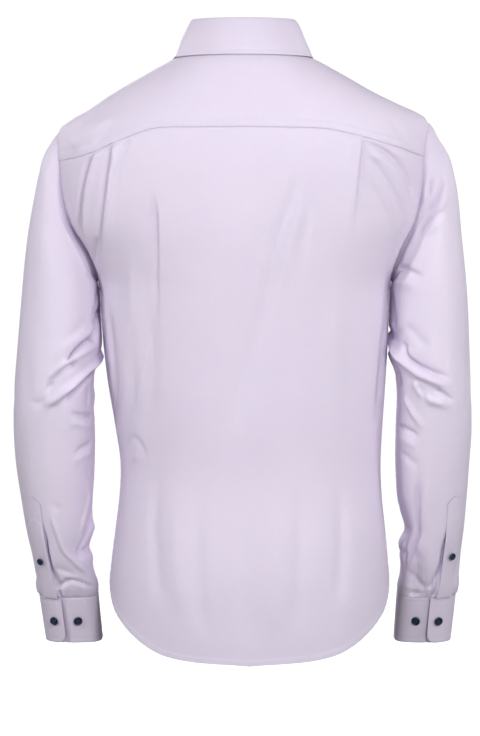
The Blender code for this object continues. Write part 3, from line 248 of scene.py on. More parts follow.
LEFT_SLEEVE_CREASES = (
    ("head_groove", ((60, 192), (63, 205), (69, 222), (78, 240), (88.5, 258), (97, 282)), -2.4, 3.0, 2.4, 0.15, 0.2),
    ("head_roll", ((55, 206), (63, 228), (74, 250), (84, 270), (90, 292)), 2.0, 6, 3.5, 0.25, 0.35),
    ("second_groove", ((59, 222), (67, 240), (77, 258), (85, 276)), -1.2, 3.5, 3, 0.3, 0.4),
    ("head_soft", ((45, 190), (52, 232), (66, 272), (76, 304)), -1.2, 10, 9, 0.35, 0.4),
    ("head_drag", ((52, 160), (50, 186), (52, 214)), -0.9, 7, 6, 0.35, 0.4),
    ("inner_shade", ((95, 284), (94, 306), (90, 330)), -4.2, 7, 6, 0.3, 0.3),
    ("inner_hollow", ((97, 306), (94.5, 326), (89, 344)), -7.0, 6.5, 5, 0.3, 0.25),
    ("elbow_ridge", ((107, 346), (101, 353), (92, 365), (82, 376), (71, 387), (55, 400), (40, 410)), 5.8, 5.2, 4.4, 0.16, 0.25),
    ("elbow_shadow", ((95, 371), (85, 380), (77, 388), (70, 395.5), (60, 406)), -5.0, 3.2, 4.2, 0.1, 0.3),
    ("elbow_upper", ((94, 336), (83, 342), (75, 349), (69, 357), (64, 366)), -4.6, 3.2, 3.2, 0.1, 0.3),
    ("elbow_upper_ridge", ((90, 348), (74, 357.5), (60, 369), (47, 386)), 2.6, 5.0, 4.5, 0.15, 0.4),
    ("elbow_middle", ((77, 364.5), (67.5, 366), (59, 373), (52, 381), (45, 396)), -4.0, 3.2, 4.2, 0.1, 0.3),
    ("elbow_outer", ((48, 400), (38, 404), (28, 402)), -1.3, 5, 6, 0.4, 0.4),
    ("elbow_top_soft", ((88, 318), (74, 330), (60, 346)), -1.6, 7, 7, 0.35, 0.4),
    ("elbow_top_ridge", ((80, 334), (66, 345), (54, 362)), 1.2, 5, 5, 0.35, 0.4),
    ("inner_vertical", ((87, 382), (89, 396), (86, 408)), -1.8, 4, 4, 0.35, 0.35),
    ("inner_lump", ((93, 384), (93.5, 398), (92, 408)), 1.6, 4, 4, 0.4, 0.4),
    ("inner_1", ((70, 412.5), (80, 415.5), (93, 416.5)), -3.0, 3.5, 3.5, 0.3, 0.05),
    ("inner_1_ridge", ((66, 422), (80, 424.5), (92, 426)), 1.8, 5, 5, 0.35, 0.1),
    ("inner_2", ((74, 455), (82, 449), (92, 443)), -2.8, 4, 3.5, 0.3, 0.05),
    ("inner_2_ridge", ((70, 464), (80, 458), (91, 453)), 1.6, 5, 5, 0.35, 0.1),
    ("inner_3", ((84, 468), (90, 478), (93, 490)), -1.2, 5, 5, 0.35, 0.35),
    ("outer_soft", ((30, 330), (27, 380), (32, 430)), -0.9, 10, 10, 0.4, 0.4),
    ("forearm_dimple", ((50, 504), (56, 507.5), (62, 513)), -1.6, 4.5, 4.5, 0.45, 0.45),
    ("forearm_streak", ((91, 488), (87.5, 508), (80.5, 538)), 2.8, 3.0, 2.6, 0.3, 0.3),
    ("forearm_ridge", ((51, 512), (56, 530), (63, 546), (71, 557), (80, 566), (91, 573)), 2.5, 2.8, 2.8, 0.2, 0.15),
    ("forearm_trough", ((93.5, 508), (91, 524), (86, 542), (80, 560)), -6.0, 3.8, 4.5, 0.25, 0.2),
    ("pinch", ((92, 549), (86, 552), (80, 557)), -2.6, 4, 4, 0.0, 0.5),
    ("pinch_swell", ((97, 528), (90, 527), (83, 530)), 1.6, 7, 7, 0.0, 0.5),
    ("cuff_gather_1", ((57, 589.5), (64, 583.5), (73, 580.5), (84, 583.5), (96, 588)), -2.4, 2.4, 3.0, 0.2, 0.15),
    ("cuff_gather_0", ((52, 569), (61, 569.5), (71, 573), (80, 578)), -1.6, 3.0, 4.0, 0.3, 0.35),
    ("cuff_gather_3", ((62, 576.5), (71, 576), (82, 579)), 0.7, 3, 3, 0.35, 0.4),
    ("cuff_pleat_1", ((67, 570), (68, 582), (69, 594)), -0.8, 2.5, 4, 0.6, 0.0),
    ("cuff_pleat_2", ((81, 570), (82, 582), (82, 594)), -0.8, 2.5, 4, 0.6, 0.0),
    ("outer_low", ((28, 540), (33, 566), (41, 590)), -1.0, 7, 7, 0.4, 0.2),
)
RIGHT_SLEEVE_CREASES = (
    ("hook", ((430.5, 204), (429.2, 193), (429.4, 182), (431.6, 175), (436, 173)), -2.1, 2.6, 2.8, 0.4, 0.35),
    ("hook_ridge", ((421, 178), (423.5, 196), (423, 214)), 1.6, 3, 3, 0.3, 0.4),
    ("head_streak", ((443, 170), (440, 188), (431, 205), (421, 219)), -3.6, 3.6, 5, 0.3, 0.3),
    ("head_ridge", ((449, 190), (440, 208), (428, 222)), 2.2, 5, 5, 0.35, 0.35),
    ("second_streak", ((445, 211), (432, 216), (423, 226), (416, 241)), -3.8, 3.6, 3.2, 0.25, 0.3),
    ("second_ridge", ((446, 222), (434, 227), (425, 238), (418, 254)), 1.9, 4.5, 4.5, 0.3, 0.35),
    ("crevice", ((424, 204), (418.5, 222), (409, 238), (401, 255), (396.5, 280), (394.5, 300)), -2.6, 2.4, 3.0, 0.15, 0.25),
    ("roll", ((431, 236), (420, 252), (410, 270), (404, 292)), 1.5, 5, 5, 0.3, 0.35),
    ("inner_soft", ((399, 267), (410, 271), (425, 279)), -3.2, 4.5, 4, 0.05, 0.4),
    ("inner_ridge", ((398, 280), (411, 285), (424, 292)), 1.3, 6, 6, 0.1, 0.4),
    ("inner_shade", ((395, 290), (395.5, 312), (397, 332)), -4.4, 6, 7, 0.3, 0.3),
    ("elbow_ridge", ((383, 329), (389.5, 338), (398, 351), (408, 364), (419, 374), (433, 381.5), (452, 389)), 5.6, 4.4, 6, 0.1, 0.3),
    ("elbow_upper", ((401, 340), (410, 356), (422, 367), (436, 374), (453, 380)), -3.6, 3.2, 4.2, 0.15, 0.3),
    ("elbow_top", ((404, 322), (418, 338), (434, 352)), -1.5, 6, 6, 0.3, 0.4),
    ("elbow_second", ((412, 380), (426, 398), (452, 408)), 3.0, 4.5, 5, 0.2, 0.35),
    ("elbow_between", ((433, 387.5), (443, 394), (455, 402)), -3.0, 3, 3, 0.3, 0.35),
    ("elbow_notch", ((416, 383), (422.5, 392), (427, 405)), -2.8, 3.2, 3.2, 0.3, 0.4),
    ("elbow_hollow", ((396, 356), (398, 372), (401, 390)), -4.6, 5, 5, 0.25, 0.3),
    ("inner_ridge_2", ((403, 394), (415, 416), (427, 432)), 2.4, 4.5, 4.5, 0.2, 0.4),
    ("inner_2", ((399, 425.5), (409, 431), (420, 437)), -2.8, 3.5, 3.5, 0.05, 0.4),
    ("inner_2_ridge", ((398, 436), (408, 442), (418, 448)), 1.5, 5, 5, 0.1, 0.4),
    ("inner_3", ((400, 452), (410, 460), (420, 470)), -1.7, 5, 5, 0.1, 0.4),
    ("outer_soft", ((466, 330), (468, 385), (462, 430)), -0.9, 10, 10, 0.4, 0.4),
    ("forearm_trough", ((419, 478), (416, 506), (413, 530), (410, 548), (404, 568)), -4.8, 4.8, 5.5, 0.25, 0.25),
    ("forearm_inner", ((405, 536), (402.5, 552), (402, 570)), -2.0, 4.0, 4, 0.3, 0.3),
    ("forearm_ridge", ((428, 476), (424, 510), (417, 545)), 1.5, 8, 8, 0.35, 0.3),
    ("pinch", ((396, 549), (402, 553), (410, 557)), -1.6, 5, 5, 0.0, 0.5),
    ("cuff_gather_1", ((403, 568), (411, 578), (420, 586), (431, 590)), -2.0, 3.6, 4.5, 0.3, 0.3),
    ("cuff_gather_2", ((407, 560), (416, 565), (426, 567)), 0.8, 5, 5, 0.3, 0.4),
    ("cuff_gather_3", ((402, 583), (411, 589), (424, 592)), 0.7, 3.5, 3.5, 0.2, 0.4),
    ("cuff_pleat_1", ((423, 562), (424, 577), (423, 594)), -0.9, 4, 2.5, 0.6, 0.0),
    ("wrist_shade", ((416, 540), (414, 566), (413, 597)), -3.6, 6, 9, 0.4, 0.05),
    ("outer_low", ((464, 530), (458, 560), (452, 586)), -1.0, 7, 7, 0.4, 0.2),
)
# where the sleeve falls away beside the overlap of its placket
PLACKET_GUTTERS = (
    ("left", ((41.5, 521), (44.5, 534), (47.8, 550), (50.2, 563), (52.8, 575), (57, 585), (60, 594)), -3.4, 1.5, 2.2, 0.35, 0.0),
    ("left_low", ((52, 564), (56, 577), (61.5, 589)), -3.4, 2.2, 4.0, 0.5, 0.1),
    ("right", ((447.8, 523), (445.8, 536), (443.3, 550), (441.2, 563), (438.2, 576), (435, 588), (432.4, 596)), -3.4, 2.2, 1.5, 0.35, 0.0),
    ("right_low", ((440, 564), (435.5, 577), (428.5, 589)), -3.4, 4.0, 2.2, 0.5, 0.1),
)
# lines of the fronts, which the camera does not see, are in x and z
FRONT_CREASES = (
    ("left_armpit_1", ((0.190, -0.262), (0.160, -0.235), (0.128, -0.222)), -2.0, 6, 6, 0.1, 0.5),
    ("left_armpit_2", ((0.186, -0.292), (0.150, -0.270), (0.108, -0.262)), -1.5, 7, 7, 0.1, 0.5),
    ("left_armpit_ridge", ((0.188, -0.277), (0.155, -0.252), (0.118, -0.241)), 1.2, 6, 6, 0.1, 0.5),
    ("left_shoulder_drag", ((0.150, -0.092), (0.168, -0.135), (0.192, -0.185)), -1.3, 8, 8, 0.35, 0.3),
    ("left_chest", ((0.085, -0.150), (0.098, -0.230), (0.118, -0.330)), -0.9, 13, 13, 0.4, 0.4),
    ("left_band_1", ((0.018, -0.245), (0.042, -0.285), (0.080, -0.325)), -1.1, 8, 8, 0.15, 0.5),
    ("left_band_2", ((0.018, -0.418), (0.046, -0.452), (0.092, -0.486)), -1.3, 7, 7, 0.15, 0.5),
    ("left_waist_1", ((0.150, -0.420), (0.112, -0.486), (0.060, -0.560)), -1.8, 9, 9, 0.35, 0.4),
    ("left_waist_2", ((0.120, -0.400), (0.096, -0.470), (0.076, -0.590)), 1.2, 11, 11, 0.35, 0.4),
    ("left_low", ((0.070, -0.560), (0.086, -0.640), (0.080, -0.730)), -1.5, 10, 10, 0.3, 0.2),
    ("left_low_2", ((0.128, -0.540), (0.134, -0.620), (0.122, -0.700)), -1.7, 9, 9, 0.3, 0.2),
    ("right_armpit_1", ((-0.190, -0.258), (-0.158, -0.236), (-0.120, -0.226)), -2.0, 6, 6, 0.1, 0.5),
    ("right_armpit_2", ((-0.187, -0.296), (-0.152, -0.278), (-0.112, -0.274)), -1.4, 7, 7, 0.1, 0.5),
    ("right_armpit_ridge", ((-0.189, -0.276), (-0.158, -0.256), (-0.120, -0.248)), 1.2, 6, 6, 0.1, 0.5),
    ("right_shoulder_drag", ((-0.145, -0.088), (-0.165, -0.130), (-0.194, -0.176)), -1.2, 8, 8, 0.35, 0.3),
    ("right_chest", ((-0.090, -0.160), (-0.094, -0.250), (-0.110, -0.350)), -0.9, 14, 14, 0.4, 0.4),
    ("right_band_1", ((-0.018, -0.330), (-0.050, -0.366), (-0.096, -0.392)), -1.2, 8, 8, 0.15, 0.5),
    ("right_band_2", ((-0.018, -0.505), (-0.044, -0.540), (-0.084, -0.566)), -1.2, 7, 7, 0.15, 0.5),
    ("right_waist_1", ((-0.156, -0.440), (-0.122, -0.500), (-0.082, -0.590)), -1.9, 9, 9, 0.35, 0.4),
    ("right_waist_2", ((-0.120, -0.410), (-0.100, -0.480), (-0.090, -0.560)), 1.1, 11, 11, 0.35, 0.4),
    ("right_low", ((-0.078, -0.575), (-0.092, -0.650), (-0.088, -0.728)), -1.5, 10, 10, 0.3, 0.2),
    ("right_low_2", ((-0.140, -0.560), (-0.142, -0.630), (-0.136, -0.700)), -1.6, 9, 9, 0.3, 0.2),
)
# the back below the belt line, also in x and z
TAIL_CREASES = (
    ("tail_1", ((0.100, -0.505), (0.112, -0.590), (0.104, -0.700)), -1.9, 9, 9, 0.35, 0.2),
    ("tail_2", ((0.052, -0.530), (0.058, -0.620), (0.050, -0.740)), -1.5, 10, 10, 0.4, 0.2),
    ("tail_3", ((-0.012, -0.540), (-0.004, -0.640), (-0.010, -0.750)), -1.2, 12, 12, 0.4, 0.2),
    ("tail_4", ((-0.064, -0.520), (-0.072, -0.610), (-0.066, -0.735)), -1.6, 9, 9, 0.4, 0.2),
    ("tail_5", ((-0.116, -0.515), (-0.124, -0.600), (-0.120, -0.700)), -1.9, 9, 9, 0.35, 0.2),
    ("tail_ridge_1", ((0.078, -0.520), (0.086, -0.600), (0.078, -0.710)), 1.3, 11, 11, 0.4, 0.2),
    ("tail_ridge_2", ((-0.038, -0.530), (-0.040, -0.620), (-0.038, -0.740)), 1.1, 12, 12, 0.4, 0.2),
)
# sides of a sleeve that the camera does not see: degrees round from its outer side (back is
# +90, front -90) and z, the same on both sleeves but for a shift in z
FRONT_SLEEVE_CREASES = (
    ("elbow_1", ((-150, -0.372), (-112, -0.388), (-70, -0.392), (-34, -0.384)), -3.4, 5, 6, 0.2, 0.4),
    ("elbow_1_ridge", ((-152, -0.386), (-112, -0.403), (-68, -0.408), (-30, -0.400)), 2.8, 6, 6, 0.2, 0.4),
    ("elbow_2", ((-156, -0.404), (-116, -0.420), (-74, -0.428), (-44, -0.446)), -3.0, 5, 6, 0.2, 0.4),
    ("elbow_2_ridge", ((-156, -0.420), (-118, -0.436), (-76, -0.446), (-50, -0.466)), 2.0, 7, 7, 0.2, 0.4),
    ("elbow_3", ((-158, -0.440), (-128, -0.458), (-96, -0.480)), -2.2, 6, 6, 0.2, 0.4),
    ("elbow_0", ((-150, -0.345), (-120, -0.356), (-84, -0.350)), -1.8, 6, 6, 0.25, 0.4),
    ("head_1", ((-62, -0.165), (-92, -0.215), (-128, -0.262)), -2.0, 7, 7, 0.3, 0.25),
    ("head_2", ((-50, -0.205), (-84, -0.252), (-122, -0.290)), 1.4, 8, 8, 0.35, 0.3),
    ("head_3", ((-30, -0.235), (-66, -0.280), (-108, -0.318)), -1.2, 9, 9, 0.35, 0.35),
    ("forearm_1", ((-60, -0.520), (-84, -0.565), (-96, -0.625)), -1.5, 9, 9, 0.35, 0.3),
    ("forearm_2", ((-120, -0.515), (-130, -0.560), (-126, -0.610)), -1.6, 8, 8, 0.35, 0.3),
    ("forearm_3", ((-40, -0.560), (-52, -0.605), (-58, -0.650)), 1.1, 9, 9, 0.35, 0.3),
    ("gather_1", ((-140, -0.664), (-108, -0.672), (-70, -0.665)), -1.7, 4, 4, 0.3, 0.3),
    ("gather_2", ((-132, -0.680), (-96, -0.686), (-58, -0.681)), 1.3, 4, 4, 0.3, 0.3),
    ("gather_3", ((-40, -0.672), (-12, -0.680), (18, -0.674)), -1.3, 4, 4, 0.3, 0.3),
    ("outer_1", ((-14, -0.400), (2, -0.425), (14, -0.455)), -1.3, 7, 7, 0.4, 0.4),
)

FRONT_BUTTONS = (("button_2", -0.146), ("button_3", -0.232), ("button_4", -0.318), ("button_5", -0.404),
                 ("button_6", -0.490), ("button_7", -0.576), ("button_8", -0.655))

# how the worn shirt stands off its solids at the shoulders and the collar's top corners:
# a place (x, z), its reach in x and z, and the shift in x and z
SETTLE = (
    (-0.236, -0.085, 0.020, 0.026, -0.0065, 0.0050),
    (-0.165, -0.045, 0.035, 0.030, 0.0000, -0.0026),
    (0.238, -0.092, 0.014, 0.018, 0.0026, 0.0020),
    (0.200, -0.062, 0.025, 0.025, -0.0005, -0.0024),
    (-0.066, 0.043, 0.020, 0.018, -0.0045, 0.0000),
    (0.066, 0.043, 0.020, 0.018, 0.0014, 0.0000),
)
# where a sleeve is drawn in on its inner side: z, reach up, reach down, depth
PINCHES = {
    "left": ((-0.590, 0.030, 0.020, 0.0020), (-0.637, 0.016, 0.010, 0.0068), (-0.662, 0.014, 0.018, 0.0042)),
    "right": ((-0.587, 0.014, 0.020, 0.0028), (-0.612, 0.018, 0.013, 0.0088), (-0.662, 0.022, 0.030, 0.0044)),
}

# ------------------------------------------------------------------ camera
CAMERA_AT = np.array([0.00387, 3.0, -0.18318])
TILT = math.radians(4.1319)
LENS = 113.75
VIEW_W, VIEW_H = 480, 736


def project(p):
    """Places in the camera's view, in its pixels."""
    reach = VIEW_H / 2 * LENS / 18.0
    forward = np.array([0.0, -math.cos(TILT), -math.sin(TILT)])
    up = np.array([0.0, -math.sin(TILT), math.cos(TILT)])
    d = p - CAMERA_AT
    depth = d @ forward
    return np.stack([VIEW_W / 2 - reach * d[..., 0] / depth, VIEW_H / 2 - reach * (d @ up) / depth], -1)


# ------------------------------------------------------------------ curves
def column(rows, columns, name):
    i = columns.index(name)
    return np.array([row[i] for row in rows], float)


def spline(t, values):
    """A smooth curve through values at t = 0, 1, 2 ..."""
    values = np.asarray(values, float)
    last = len(values) - 1
    t = np.clip(np.asarray(t, float), 0.0, last)
    i = np.minimum(t.astype(int), last - 1)
    f = t - i
    slope = np.gradient(values, axis=0)
    a, b, m, n = values[i], values[i + 1], slope[i], slope[i + 1]
    if values.ndim > 1:
        f = f.reshape(f.shape + (1,) * (values.ndim - 1))
    return ((2 * f**3 - 3 * f**2 + 1) * a + (f**3 - 2 * f**2 + f) * m
            + (3 * f**2 - 2 * f**3) * b + (f**3 - f**2) * n)


def spline_at(x, keys, values):
    return spline(np.interp(x, keys, np.arange(len(keys))), values)


def ease(t):
    t = np.clip(t, 0.0, 1.0)
    return t * t * (3 - 2 * t)


def oval(angle, square):
    s, c = np.sin(angle), np.cos(angle)
    r = (np.abs(s) ** square + np.abs(c) ** square) ** (-1.0 / square)
    return s * r, c * r


def unit(v):
    return v / np.maximum(np.linalg.norm(v, axis=-1, keepdims=True), 1e-12)


def lengths(line):
    """Distance along a line of points."""
    return np.concatenate([[0.0], np.cumsum(np.linalg.norm(np.diff(line, axis=0), axis=1))])


def spaced(total, step):
    """Fractions 0 to 1 whose steps follow step(distance)."""
    x = np.linspace(0, total, 3000)
    pace = 1.0 / step(x)
    run = np.concatenate([[0.0], np.cumsum((pace[1:] + pace[:-1]) / 2 * np.diff(x))])
    count = max(2, int(math.ceil(run[-1])))
    return np.interp(np.linspace(0, run[-1], count + 1), run, x) / total


def near_ends(total, fine, coarse, reach=0.011, start=True, end=True):
    """Fine steps at the ends of a length, coarse ones between them."""
    def step(x):
        away = np.minimum(x if start else np.full(x.shape, 9.0), (total - x) if end else np.full(x.shape, 9.0))
        return fine + (coarse - fine) * ease((away - reach) / 0.012)
    return spaced(total, step)


# ------------------------------------------------------------------ torso form
BODY_FIELD = {n: column(BODY, BODY_COLUMNS, n) for n in BODY_COLUMNS[1:]}
LAST = len(BODY) - 1.0
NAMES = [row[0] for row in BODY]


def shoulder_drop(x, level):
    fade = 1 - ease((level - NAMES.index("shoulder_tip"))
                    / (NAMES.index("underarm") - NAMES.index("shoulder_tip")))
    return SHOULDER_DROP * np.sign(x) * np.minimum(np.abs(x) / 0.224, 1.05) ** 3 * fade


def body(angle, level):
    angle, level = np.broadcast_arrays(np.asarray(angle, float), np.asarray(level, float))
    f = {n: spline(level, v) for n, v in BODY_FIELD.items()}
    s, c = oval(angle, f["square"])
    behind = np.cos(angle) >= 0
    depth = np.where(behind, f["y_back"] - f["y_side"], f["y_side"] - f["y_front"])
    rise = np.where(behind, f["z_back"] - f["z_side"], f["z_front"] - f["z_side"])
    x = f["half_w"] * s
    y = f["y_side"] + depth * c
    z = f["z_side"] + rise * np.cos(angle) ** 2 - shoulder_drop(x, level)
    return np.stack([x + f["x_mid"], y, z], -1)


def body_normal(angle, level, h=1e-3):
    level = np.clip(level, h, LAST - h)
    da = body(angle + h, level) - body(angle - h, level)
    dl = body(angle, level + h) - body(angle, level - h)
    return unit(np.cross(da, dl))


def solve(target, axes, angle, level, rounds=30):
    angle, level = np.array(angle, float), np.array(level, float)
    h = 1e-4
    for _ in range(rounds):
        miss = body(angle, level)[..., axes] - target
        ja = (body(angle + h, level)[..., axes] - body(angle - h, level)[..., axes]) / (2 * h)
        jl = (body(angle, level + h)[..., axes] - body(angle, level - h)[..., axes]) / (2 * h)
        det = ja[..., 0] * jl[..., 1] - ja[..., 1] * jl[..., 0]
        da = (miss[..., 0] * jl[..., 1] - miss[..., 1] * jl[..., 0]) / det
        dl = (ja[..., 0] * miss[..., 1] - ja[..., 1] * miss[..., 0]) / det
        angle = angle - np.clip(da, -0.15, 0.15)
        level = np.clip(level - np.clip(dl, -0.6, 0.6), 0.0, LAST)
    return angle, level


def armhole(theta, side):
    s, c = oval(np.asarray(theta, float), ARMHOLE["square"])
    y = ARMHOLE["y_mid"] + s * np.where(s > 0, ARMHOLE["back"], ARMHOLE["front"])
    z = ARMHOLE["z_mid"] - SHOULDER_DROP * side * (1 + c) / 2 + c * ARMHOLE["half_h"]
    level = np.interp(-z, -BODY_FIELD["z_side"][4:13], np.arange(4, 13))
    angle = side * (math.pi / 2 - np.arcsin(np.clip(y / 0.13, -0.8, 0.8)))
    return np.stack(solve(np.stack([y, z], -1), [1, 2], angle, level), -1)


def yoke_seam(x):
    xs = column(YOKE_SEAM, YOKE_COLUMNS, "x")
    z = spline_at(x, xs, column(YOKE_SEAM, YOKE_COLUMNS, "z"))
    start = np.arcsin(np.clip(np.asarray(x) / 0.25, -0.95, 0.95))
    return np.stack(solve(np.stack([x, z], -1), [0, 2], start, 5.0 + 1.5 * np.abs(start)), -1)


def hem_level(angle):
    a = np.degrees(np.abs(angle))
    z = spline_at(a, column(HEM, HEM_COLUMNS, "angle"), column(HEM, HEM_COLUMNS, "z"))
    return np.interp(-z, -BODY_FIELD["z_side"], np.arange(len(BODY)))


def front_angle(side, level, x):
    half = spline(level, BODY_FIELD["half_w"])
    square = spline(level, BODY_FIELD["square"])
    t = np.clip(x / half, -0.9, 0.9)
    c = (1 - np.abs(t) ** square) ** (1 / square)
    return side * (math.pi - np.arctan2(t, c))


def armhole_corners(side):
    """Thetas of an armhole where it meets the front and the back yoke seams."""
    theta = np.radians(np.linspace(20, 100, 641))
    end = column(YOKE_SEAM, YOKE_COLUMNS, "z")[-1 if side > 0 else 0]
    at = armhole(theta, side)
    back = theta[np.argmin(np.abs(body(at[:, 0], at[:, 1])[:, 2] - end))]
    theta = np.radians(np.linspace(-90, -10, 641))
    front = theta[np.argmin(np.abs(np.degrees(np.abs(armhole(theta, side)[:, 0])) - YOKE_FRONT))]
    return front, back


CORNERS = {side: armhole_corners(side) for side in (1, -1)}


def armhole_line(side, name, count=240):
    """(angle, level) along a part of an armhole: yoke, back or front."""
    front, back = CORNERS[side]
    a, b = {"yoke": (front, back), "back": (back, math.pi), "front": (front, -math.pi)}[name]
    line = armhole(np.linspace(a, b, count), side)
    if name != "yoke":
        line[-1, 0] = side * math.pi / 2
    if name != "back":
        line[0, 0] = side * math.radians(YOKE_FRONT)
    return line


def side_line(side, count=240):
    top = armhole_line(side, "back", 3)[-1, 1]
    return np.stack([np.full(count, side * math.pi / 2),
                     np.linspace(top, float(hem_level(math.pi / 2)), count)], -1)


def resample(line, fractions):
    """(angle, level) at fractions of a line's length in space."""
    run = lengths(body(line[:, 0], line[:, 1]))
    at = np.asarray(fractions) * run[-1]
    return np.stack([np.interp(at, run, line[:, 0]), np.interp(at, run, line[:, 1])], -1)


def length_of(line):
    return lengths(body(line[:, 0], line[:, 1]))[-1]


def coons(left, right, top, bottom, u):
    w = np.linspace(0, 1, len(left))[:, None, None]
    u = u[None, :, None]
    across = (1 - u) * left[:, None] + u * right[:, None]
    down = (1 - w) * top[None] + w * bottom[None]
    corner = ((1 - u) * (1 - w) * top[0] + u * (1 - w) * top[-1]
              + (1 - u) * w * bottom[0] + u * w * bottom[-1])
    return across + down - corner


# ------------------------------------------------------------------ sleeve, cuff and collar forms
def oval_ring(row, side, theta, square=2.15):
    f = dict(zip(RING_COLUMNS, row))
    top = np.array([side * f["x_out"], f["y_mid"], f["z_out"]])
    low = np.array([side * f["x_in"], f["y_mid"], f["z_in"]])
    s, c = oval(theta, square)
    depth = np.where(s > 0, f["back"], f["front"])
    return (top + low) / 2 + c[:, None] * (top - low) / 2 + (depth * s)[:, None] * np.array([0.0, 1.0, 0.0])


def pressed(theta, share=1.0):
    """Squareness of a cuff's oval: flatter behind, towards the body."""
    turn = np.degrees(theta) % 360.0
    return 2.15 + 0.95 * share * ease((turn - 98.0) / 34.0) * ease((205.0 - turn) / 22.0)


def sleeve(which, theta, ring):
    side = 1 if which == "left" else -1
    at = armhole(theta, side)
    seam = body(at[:, 0], at[:, 1])
    ends = armhole(np.array([0.0, math.pi]), side)
    top, low = body(ends[:, 0], ends[:, 1])
    plain = oval_ring(("seam", side * top[0], top[2], side * low[0], low[2], ARMHOLE["y_mid"],
                       ARMHOLE["back"], ARMHOLE["front"]), side, theta)
    bulge = seam - plain
    last = len(SLEEVES[which]) - 1
    rings = [oval_ring(r, side, theta, pressed(theta, max(0.0, 1.0 - 0.4 * (last - k))))
             for k, r in enumerate(SLEEVES[which])]
    for k in range(5):
        rings[k] = rings[k] + bulge * (1 - (k + 1) / 6.0) ** 1.5
    return spline(np.asarray(ring, float), np.stack([seam] + rings))


def cuff(which, theta, t):
    side = 1 if which == "left" else -1
    ring = [oval_ring(r, side, theta, pressed(theta)) for r in CUFFS[which]]
    t = np.asarray(t, float)
    t = t[:, None, None] if t.ndim == 1 else t[:, :, None]
    return (1 - t) * ring[0][None] + t * ring[1][None]


def lap_lift(which, turn):
    """How far the flap side stands above the other; turn runs down from the flap's edge."""
    edge = LAPS[which][LAP_COLUMNS.index("edge")]
    return LAP["lift"] * ease(1 - (edge - turn - LAP["under"] - 6.0) / LAP["blend"])


def lap_turn(which, theta):
    turn = np.degrees(theta)
    return np.where(turn > LAPS[which][LAP_COLUMNS.index("edge")], turn - 360.0, turn)


def raised(which, theta, rings):
    """The same lift on the sleeve's last 45 mm."""
    fine = np.linspace(0, 15, 600)
    run = lengths(sleeve(which, np.array([math.radians(60.0)]), fine)[:, 0])
    left = run[-1] - np.interp(rings, fine, run)
    return ease(1 - left / 0.045)[:, None] * lap_lift(which, lap_turn(which, theta))[None, :]


def cuff_layers(which, turn, t):
    """Outer face of the cuff and the way out from it."""
    lift = lap_lift(which, turn)
    base = cuff(which, np.radians(turn), t)
    side = 1 if which == "left" else -1
    middle = np.stack([(cuff(which, np.radians(np.arange(0.0, 360.0, 10.0)), np.array([k])))[0].mean(0)
                       for k in (0.0, 1.0)])
    t = np.asarray(t, float)
    t = np.broadcast_to(t[:, None] if t.ndim == 1 else t, base.shape[:2])[..., None]
    out = base - ((1 - t) * middle[0] + t * middle[1])
    out[..., 2] = 0.0
    out = unit(out)
    return base + out * (0.0006 + lift)[None, :, None], out


def round_out(angle):
    return np.stack([np.sin(angle), np.cos(angle), np.zeros(np.shape(angle))], -1)


def stand_ring(angle, t):
    """The stand's outer face; t may be one number or one for each angle."""
    t = np.broadcast_to(np.asarray(t, float), np.shape(angle))[..., None]
    n = body_normal(angle, np.full(np.shape(angle), 0.01))
    front = ease((np.abs(angle) - math.radians(140)) / math.radians(20))
    base = body(angle, np.zeros(np.shape(angle))) + n * (0.0006 + 0.0008 * front)[..., None]
    s, c = oval(angle, 2.0)
    behind = np.cos(angle) >= 0
    depth = np.where(behind, STAND["y_back"] - STAND["y_side"], STAND["y_side"] - STAND["y_front"])
    rise = np.where(behind, STAND["z_back"] - STAND["z_side"], STAND["z_front"] - STAND["z_side"])
    top = np.stack([STAND["x_mid"] + STAND["half_w"] * s, STAND["y_side"] + depth * c,
                    STAND["z_side"] + rise * np.cos(angle) ** 2], -1)
    lap = 0.0030 * ease((angle - math.radians(120)) / math.radians(45))
    return base + (top - base) * t + round_out(angle) * (lap[..., None] + 0.0012 * np.sin(math.pi * t))


def leaf(at, fall):
    keys = column(COLLAR, COLLAR_COLUMNS, "at")
    get = {n: spline_at(np.abs(at), keys, column(COLLAR, COLLAR_COLUMNS, n)) for n in COLLAR_COLUMNS[2:]}
    top = np.radians(get["top_angle"]) * np.sign(at)
    edge = np.radians(get["edge_angle"]) * np.sign(at)
    share = 0.43 + 0.13 * ease((np.abs(at) - 0.45) / 0.3)
    low = body(edge, get["edge_level"]) + body_normal(edge, get["edge_level"]) * (share * get["lift"])[:, None]
    high = stand_ring(top, 1.0)
    along = unit(np.gradient(high, axis=0))
    rise = high - stand_ring(top, 0.5)
    up = unit(rise - (rise * along).sum(-1, keepdims=True) * along)
    out = np.cross(up, along)
    out = out * np.sign((out * round_out(top)).sum(-1, keepdims=True))
    roll = high + out * 0.0040 - up * 0.0012
    grid = [high - out * 0.0012 + up * 0.0030, high + out * 0.0018 + up * 0.0032, roll]
    for t in fall:
        grid.append(roll + (low - roll) * t + out * (0.0016 * math.sin(math.pi * t)))
    return np.stack(grid)


def grid_normals(grid, middle, loop=False):
    down = np.gradient(grid, axis=0)
    if loop:
        across = (np.roll(grid, -1, axis=1) - np.roll(grid, 1, axis=1)) / 2
    else:
        across = np.gradient(grid, axis=1)
    n = unit(np.cross(across, down))
    return n if ((grid - middle) * n).sum(-1).mean() > 0 else -n


